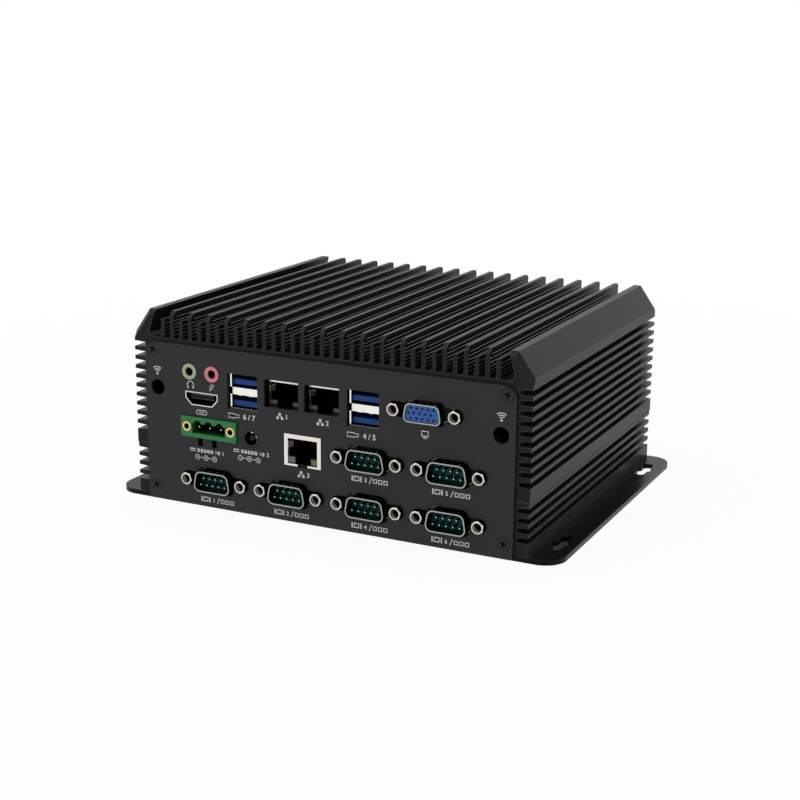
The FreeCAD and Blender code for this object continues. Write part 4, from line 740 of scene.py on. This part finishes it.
def buildBusContacts(work):
    v = busContacts
    half = v["width"] * mm / 2
    for points in islands("usb_tongues"):
        low, high, centre = limits(points)
        front, way = (low.y, 1) if low.y < 0 else (high.y, -1)
        start = front + way * v["start"] * mm
        stop = start + way * v["run"] * mm
        for x in rowOf(centre.x, v["count"], v["pitch"]):
            addBar(work, (x - half, min(start, stop), low.z - v["thick"] * mm),
                   (x + half, max(start, stop), low.z + v["sunk"] * mm))


place("busContacts", meshFrom("busContacts", buildBusContacts), "goldContact", "gold_pin")

busShell = dict(rimHalf=6.55, bodyHalf=7.1, leftWall=0.5, flare=0.28, notch=1.5, wall=0.35, cavity=11.0,
                shoulder=9.0, ports=((1.0, 6.4), (9.3, 14.8)), bandGap=0.45,
                fingers=((-3.3, -1.5), (1.5, 3.3)), fingerBack=0.45, fingerEnd=3.0, fingerThick=0.32)


def buildBusShell(work, node):
    v = busShell
    low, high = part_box(node)
    middle = (low.x + high.x) / 2
    way = -1 if low.y > 0 else 1  # the rear shell faces the other way
    face = low.y if way > 0 else high.y
    tall = (high.z - low.z) / mm
    rim, body, cavity = v["rimHalf"], v["bodyHalf"], v["cavity"]
    first, second = v["ports"]

    def bar(x0, x1, depth0, depth1, z0, z1):
        near, far = face + way * depth0 * mm, face + way * depth1 * mm
        addBar(work, (middle + min(x0 * way, x1 * way) * mm, min(near, far), low.z + z0 * mm),
               (middle + max(x0 * way, x1 * way) * mm, max(near, far), low.z + z1 * mm))

    bar(-body, body, cavity, (high.y - low.y) / mm, 0, tall)
    side = middle - way * rim * mm
    inner = side + way * v["leftWall"] * mm
    front, slanted, notch, behind = [face + way * depth * mm for depth in (0, v["flare"], v["notch"], cavity)]
    lip = [(side, front), (inner, slanted), (inner, notch), (side, notch)]
    rest = [(side, notch), (inner, notch), (inner, behind), (side, behind)]
    for outline, z0, z1 in ((lip, 0, first[1]), (lip, second[0], tall), (rest, 0, tall)):
        addPost(work, outline, low.z + z0 * mm, low.z + z1 * mm)
    bar(rim - v["wall"], rim, 0, cavity, 0, tall)
    for z0, z1 in ((0, first[0]), (first[1], second[0]), (second[1], tall)):
        bar(-rim + v["leftWall"] + v["bandGap"], rim - v["wall"], 0, cavity, z0, z1)
    for side in (-1, 1):
        bar(side * rim, side * body, v["shoulder"], cavity, 0, tall)
    for z0, z1 in v["ports"]:
        for start, stop in v["fingers"]:
            bar(start, stop, v["fingerBack"], v["fingerEnd"], z1 - v["fingerThick"], z1)


for where in ("left", "right", "rear"):
    node = "usb_shell_" + where
    name = "busShell" + where.capitalize()
    shell = place(name, meshFrom(name, lambda work: buildBusShell(work, node)), "busMetal", "nickel")
    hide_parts(node)
print("bus shells placed")

inletSprings = dict(radius=2.3, reach=0.45, wide=0.5, start=0.35, run=5.0, angles=(80, 20))


def buildInletSprings(work):
    v = inletSprings
    low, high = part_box("dc_jack_pin")
    middle = (low + high) / 2
    inner, outer, wide = v["radius"], v["radius"] + v["reach"], v["wide"]
    for angle in v["angles"]:
        a = math.radians(angle)
        out = Vector((math.cos(a), 0, math.sin(a)))
        across = Vector((-math.sin(a), 0, math.cos(a)))
        bridge(work, *[[work.verts.new(Vector((middle.x, y, middle.z)) + out * r * mm + across * w * mm)
                        for r, w in ((inner, -wide), (inner, wide), (outer, wide), (outer, -wide))]
                       for y in (panelFace + v["start"] * mm, panelFace + (v["start"] + v["run"]) * mm)])


place("inletSprings", meshFrom("inletSprings", buildInletSprings), "inletMetal", "nickel")

seam = dict(high=0.55, gap=0.02, deep=0.4, proud=0.02, inset=0.04)


def buildSeam(work):  # painted shade: a dark strip for the shaded gap of the joint under the top housing, on both sides
    v = seam
    low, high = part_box("lower_housing")
    for x, way in ((low.x, -1), (high.x, 1)):
        inner = x - way * v["deep"] * mm
        outer = x + way * v["proud"] * mm
        addBar(work, (min(inner, outer), low.y + v["inset"] * mm, high.z - v["high"] * mm),
               (max(inner, outer), high.y - v["inset"] * mm, high.z - v["gap"] * mm))


place("housingSeam", meshFrom("housingSeam", buildSeam), "paintedGapShade", "anodised_housing")

springTabs = dict(mouth=6.45, bend=5.25, deep=2.3, thick=0.18, low=7.0, high=9.6, rest=0.12)


def buildTabs(work):
    v = springTabs
    for number in (1, 2, 3):
        low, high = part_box(f"lan_shield_{number}")
        middle = (low.x + high.x) / 2
        y = low.y + v["rest"] * mm
        for side in (-1, 1):
            outline = [(middle + side * v["mouth"] * mm, y),
                       (middle + side * v["bend"] * mm, y + v["deep"] * mm),
                       (middle + side * (v["bend"] + v["thick"]) * mm, y + (v["deep"] + v["thick"]) * mm),
                       (middle + side * (v["mouth"] + v["thick"]) * mm, y + v["thick"] * mm)]
            addPost(work, outline, low.z + v["low"] * mm, low.z + v["high"] * mm)


place("springTabs", meshFrom("springTabs", buildTabs), "springMetal", "nickel")

dimples = dict(radius=0.55, rise=0.22, inset=2.2, along=(-4.6, -1.6, 1.6, 4.6), sink=0.05, turns=14,
               halfHeights=dict(com_shell=4.25, vga_shell=3.7),
               shoulder=(0.75, 0.6), crown=(0.35, 1.0), peak=1.05)  # shares of the radius and of the rise


def buildDimples(work):
    v = dimples
    radius, rise = v["radius"], v["rise"]
    rounded = [(radius * a * mm, rise * b * mm) for a, b in (v["shoulder"], v["crown"])]
    profile = [(0, 0), (radius * mm, 0), *rounded, (0, rise * mm * v["peak"])]
    for name in sorted(nodes):
        half = v["halfHeights"].get(name.rstrip("_0123456789"))  # by the name without its number
        if half is None:
            continue
        low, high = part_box(name)
        middle = (low + high) / 2
        for step in v["along"]:
            for way in (-1, 1):
                seat = (middle.x + step * mm, low.y + v["inset"] * mm, middle.z + way * (half - v["sink"]) * mm)
                addTurned(work, profile, seat, (0, 0, way), v["turns"])


# painted shade: the dimples take the darker, shaded copy of the jackscrew nickel
bumps = place("shellDimples", meshFrom("shellDimples", buildDimples), "jackShade", "nickel")
smooth(bumps, 60)
print("socket details placed")

marks = dict(thick=0.025, sunk=0.01, serial=((-48.2, 3.6), (-14.1, 3.6), (20.15, 22.5), (20.15, 3.6),
                                             (54.0, 22.4), (54.0, 3.6)))


def addInk(work, outline):
    addPrism(work, [(x * mm, z * mm) for x, z in outline], panelFace - marks["thick"] * mm,
             panelFace + marks["sunk"] * mm)


def corners(x, z, width, height):
    return [(x - width / 2, z - height / 2), (x + width / 2, z - height / 2), (x + width / 2, z + height / 2),
            (x - width / 2, z + height / 2)]


def addMark(work, x, z, width, height):
    addInk(work, corners(x, z, width, height))


def addStroke(work, points, width, closed=False):
    half = width / 2
    count = len(points)
    left = []
    right = []
    for i, (x, z) in enumerate(points):
        before = points[i - 1] if closed else points[max(i - 1, 0)]
        after = points[(i + 1) % count] if closed else points[min(i + 1, count - 1)]
        d = Vector((after[0] - before[0], after[1] - before[1]))
        d.normalize()
        n = Vector((-d.y, d.x))
        left.append((x + n.x * half, z + n.y * half))
        right.append((x - n.x * half, z - n.y * half))
    for i in range(count if closed else count - 1):
        j = (i + 1) % count
        addInk(work, [left[i], left[j], right[j], right[i]])


def addFrame(work, x, z, width, height, stroke):
    addStroke(work, corners(x, z, width, height), stroke, True)


def circlePoints(x, z, r, start=0, stop=360, steps=20):
    count = steps if stop - start >= 360 else steps + 1
    return [(x + r * math.cos(math.radians(start + (stop - start) * k / steps)),
             z + r * math.sin(math.radians(start + (stop - start) * k / steps))) for k in range(count)]


def addDot(work, x, z, r):
    addInk(work, circlePoints(x, z, r))


def addWaves(work, x, z):
    addDot(work, x, z, 0.45)
    for r in (1.15, 2.0, 2.85):
        addStroke(work, circlePoints(x, z, r, 50, 130, 10), 0.34)


def addScreen(work, x, z):
    addFrame(work, x, z + 0.2, 2.6, 1.9, 0.42)
    addMark(work, x, z - 1.45, 1.7, 0.35)


def addTree(work, x, z):
    for dx, dz, width, height in ((0, 0.75, 1.05, 0.95), (-1.0, -0.85, 1.05, 0.95), (1.0, -0.85, 1.05, 0.95),
                                  (0, -0.05, 2.0, 0.25), (0, 0.2, 0.25, 0.5)):
        addMark(work, x + dx, z + dz, width, height)


def addHeadphones(work, x, z):
    addStroke(work, circlePoints(x, z, 1.45, -30, 210, 18), 0.32)
    for side in (-1.2, 1.2):
        addMark(work, x + side, z - 0.95, 0.6, 0.95)


def addMicrophone(work, x, z):
    turn = math.radians(35)
    spun = [(x + a * math.cos(turn) + b * math.sin(turn), z - a * math.sin(turn) + b * math.cos(turn))
            for a, b in corners(0, -0.1, 1.0, 2.0)]
    addStroke(work, spun, 0.28, True)
    addStroke(work, [(x - 0.6, z - 1.0), (x - 1.15, z - 1.75)], 0.28)


def addSlotMark(work, x, z):
    ends = circlePoints(x - 1.6, z, 0.85, 90, 270, 8) + circlePoints(x + 1.6, z, 0.85, 270, 450, 8)
    addStroke(work, ends, 0.28, True)
    addMark(work, x, z + 0.05, 2.6, 0.28)


def addPlugMark(work, x, z):
    addFrame(work, x - 1.05, z, 3.1, 1.7, 0.32)
    addFrame(work, x + 1.35, z, 1.7, 1.1, 0.28)


def addBlocks(work, x, z, widths, height):  # stand in for words
    for width in widths:
        addFrame(work, x + width / 2, z, width - 0.46, height - 0.46, 0.46)
        x += width + 0.4


def addSerialMark(work, x, z):
    for side in (-6.4, -2.6):
        addMark(work, x + side, z, 0.55, 2.2)
    addFrame(work, x - 4.5, z, 2.0, 1.64, 0.52)
    addStroke(work, [(x + 0.85, z - 1.35), (x + 1.95, z + 1.35)], 0.34)
    addBlocks(work, x + 2.4, z, (1.85, 1.85, 1.85), 1.9)


def addSupply(work, x, z):
    addMark(work, x + 1.3, z + 0.45, 2.6, 0.42)
    for k in (-0.95, 0, 0.95):
        addMark(work, x + 1.3 + k, z - 0.4, 0.65, 0.42)
    addBlocks(work, x + 3.5, z, (1.15, 1.15, 1.15, 1.15, 1.15), 1.6)
    addBlocks(work, x + 12.0, z, (0.6, 1.15), 1.6)


def addPolarity(work, x, z, step):
    for k in (-1, 0, 1):
        addStroke(work, circlePoints(x + k * step, z, 1.0), 0.24, True)
    addStroke(work, [(x - step + 1.0, z), (x - 1.0, z)], 0.24)
    addStroke(work, [(x + 1.0, z), (x + step - 1.0, z)], 0.24)
    for side, width, height in ((-step, 0.95, 0.24), (step, 0.95, 0.24), (step, 0.24, 0.95)):
        addMark(work, x + side, z, width, height)
    addDot(work, x, z, 0.36)


def buildMarks(work):
    for add, places in ((addWaves, ((-74.3, 53.2), (74.3, 53.2))), (addScreen, ((44.05, 43.9),)),
                        (addHeadphones, ((-58.7, 50.4),)), (addMicrophone, ((-48.7, 50.7),)),
                        (addSlotMark, ((-53.8, 39.6),)), (addPlugMark, ((14.2, 39.6), (-38.6, 40.2))),
                        (addTree, ((-17.9, 42.8), (-0.1, 42.7), (-8.6, 20.6))),
                        (addSerialMark, marks["serial"]), (addSupply, ((-59.7, 23.7), (-39.2, 26.1)))):
        for x, z in places:
            add(work, x, z)
    addPolarity(work, -52.2, 20.9, 4.0)
    addPolarity(work, -32.0, 23.4, 4.1)


digits = [(str(number + 1), x - 0.7, z - 0.2, 2.4) for number, (x, z) in enumerate(marks["serial"])]
digits += [("1", -14.9, 42.6, 2.7), ("2", 3.0, 42.5, 2.7), ("3", -5.5, 20.4, 2.7), ("4 / 5", 21.0, 39.6, 3.0),
           ("6 / 7", -31.8, 40.2, 3.0), ("1", -44.2, 23.7, 2.2), ("2", -23.5, 26.1, 2.2)]


def digitMesh(name, text, x, z, size):
    curve = bpy.data.curves.new(name, "FONT")
    curve.body = text
    curve.size = size * mm
    curve.align_x = "CENTER"
    curve.align_y = "CENTER"
    curve.extrude = marks["thick"] * mm / 2
    curve.offset = 0.05 * mm
    thing = bpy.data.objects.new(name, curve)
    bpy.context.scene.collection.objects.link(thing)
    mesh = bpy.data.meshes.new_from_object(thing.evaluated_get(bpy.context.evaluated_depsgraph_get()))
    bpy.data.objects.remove(thing)
    mesh.transform(Matrix.Translation((x * mm, panelFace - marks["thick"] * mm / 2, z * mm))
                   @ Matrix.Rotation(math.pi / 2, 4, "X"))
    return mesh


printed = [meshFrom("panelShapes", buildMarks)]
printed += [digitMesh(f"digit{index}", *values) for index, values in enumerate(digits)]
place("panelMarks", joinMeshes("panelMarks", [(mesh, Matrix.Identity(4)) for mesh in printed]), "printInk",
      "anodised_panel")
print("marks placed")

camera = dict(place=(273.52, -566.93, 202.49), azimuth=25.944, elevation=14.988, roll=0.541, lens=69.05,
              sensor=36.0, nearest=0.01, farthest=50.0)
cameraData = bpy.data.cameras.new("studioCamera")
cameraData.lens = camera["lens"]
cameraData.sensor_width = camera["sensor"]
cameraData.clip_start = camera["nearest"]
cameraData.clip_end = camera["farthest"]
cameraObject = bpy.data.objects.new("studioCamera", cameraData)
bpy.context.scene.collection.objects.link(cameraObject)
az, el, roll = [math.radians(camera[key]) for key in ("azimuth", "elevation", "roll")]
back = Vector((math.sin(az) * math.cos(el), -math.cos(az) * math.cos(el), math.sin(el)))
right = (-back).cross(Vector((0, 0, 1))).normalized()
up = right.cross(-back)
rolledRight = right * math.cos(roll) + up * math.sin(roll)
rolledUp = up * math.cos(roll) - right * math.sin(roll)
turn = Matrix((rolledRight, rolledUp, back)).transposed()
cameraObject.matrix_world = Matrix.Translation(Vector(camera["place"]) * mm) @ turn.to_4x4()
bpy.context.scene.camera = cameraObject

studio = dict(reach=4.0, drop=0.0002, floorColour=grey(0.9), plateShadowColour=grey(0.06), floorRoughness=0.9,
              plainFrom=0.22, plainTo=0.75, glowNear=0.94, ambient=0.4,
              underPlate=dict(X=(0.0, 0.0925), Y=(-0.018, 0.048)))  # middle and half size, out of sight; the floor there gets a painted shadow


def seenPlainly(tree):  # 1 for what the camera sees itself, in a reflection or through glass
    path = addNode(tree, "ShaderNodeLightPath").outputs
    through = maths(tree, "MAXIMUM", path["Is Glossy Ray"], path["Is Transmission Ray"])
    return maths(tree, "MAXIMUM", path["Is Camera Ray"], through)


def makeFloor():
    v = studio
    reach = v["reach"]
    mesh = bpy.data.meshes.new("studioFloor")
    mesh.from_pydata([(-reach, -reach, 0), (reach, -reach, 0), (reach, reach, 0), (-reach, reach, 0)], [],
                     [(0, 1, 2, 3)])
    material, tree, shader = newMaterial("studioFloor")
    spot = addNode(tree, "ShaderNodeNewGeometry").outputs["Position"]
    axes = addNode(tree, "ShaderNodeSeparateXYZ", spot).outputs
    away = []
    for axis, (middle, half) in v["underPlate"].items():
        distance = maths(tree, "ABSOLUTE", maths(tree, "SUBTRACT", axes[axis], middle))
        away.append(maths(tree, "GREATER_THAN", distance, half))
    openFloor = maths(tree, "MAXIMUM", *away)  # 0 in the zone under the plate, where the floor is painted dark as shadow
    fade = ramp(tree, vectorMaths(tree, "LENGTH", spot)["Value"], v["plainFrom"], v["plainTo"],
                v["glowNear"], 1.0)
    share = maths(tree, "MULTIPLY", seenPlainly(tree), maths(tree, "MULTIPLY", fade, openFloor))
    feed(tree, shader, {"Base Color": mixColour(tree, openFloor, v["plateShadowColour"], v["floorColour"]),
                        "Roughness": v["floorRoughness"]})
    glow = addNode(tree, "ShaderNodeEmission", Color=grey(1))
    blend = addNode(tree, "ShaderNodeMixShader", share, shader.outputs[0], glow.outputs[0])
    feed(tree, tree.nodes["Material Output"], {"Surface": blend.outputs[0]})
    mesh.materials.append(material)
    floor = bpy.data.objects.new("studioFloor", mesh)
    floor.location.z = -v["drop"]
    bpy.context.scene.collection.objects.link(floor)
    return floor


floor = makeFloor()


def makeWorld():
    world = bpy.data.worlds.new("studio")
    world.use_nodes = True
    tree = world.node_tree
    tree.nodes.clear()
    ambient = addNode(tree, "ShaderNodeBackground", Color=grey(1), Strength=studio["ambient"])
    white = addNode(tree, "ShaderNodeBackground", Color=grey(1), Strength=1.0)
    blend = addNode(tree, "ShaderNodeMixShader", seenPlainly(tree), ambient.outputs[0], white.outputs[0])
    addNode(tree, "ShaderNodeOutputWorld", Surface=blend.outputs[0])
    return world


bpy.context.scene.world = makeWorld()

lamps = dict(  # power in watts, the two sides, the place and the target in metres
    overhead=(9.0, (1.2, 1.2), (-0.2, 0.1, 1.5), (0, 0, 0)),
    frontLeft=(4.0, (0.8, 0.8), (-0.9, -1.1, 0.9), (0, 0, 0.04)),
    rightSide=(1.5, (0.9, 0.7), (1.3, 0.1, 0.7), (0, 0, 0.04)))

for name, (power, size, spot, target) in lamps.items():
    data = bpy.data.lights.new(name, "AREA")
    data.shape = "RECTANGLE"
    data.size, data.size_y = size
    data.energy = power
    lamp = bpy.data.objects.new(name, data)
    bpy.context.scene.collection.objects.link(lamp)
    lamp.location = spot
    lamp.rotation_euler = (Vector(target) - Vector(spot)).to_track_quat("-Z", "Y").to_euler()

bpy.context.scene.view_settings.view_transform = "Standard"
print("studio ready")
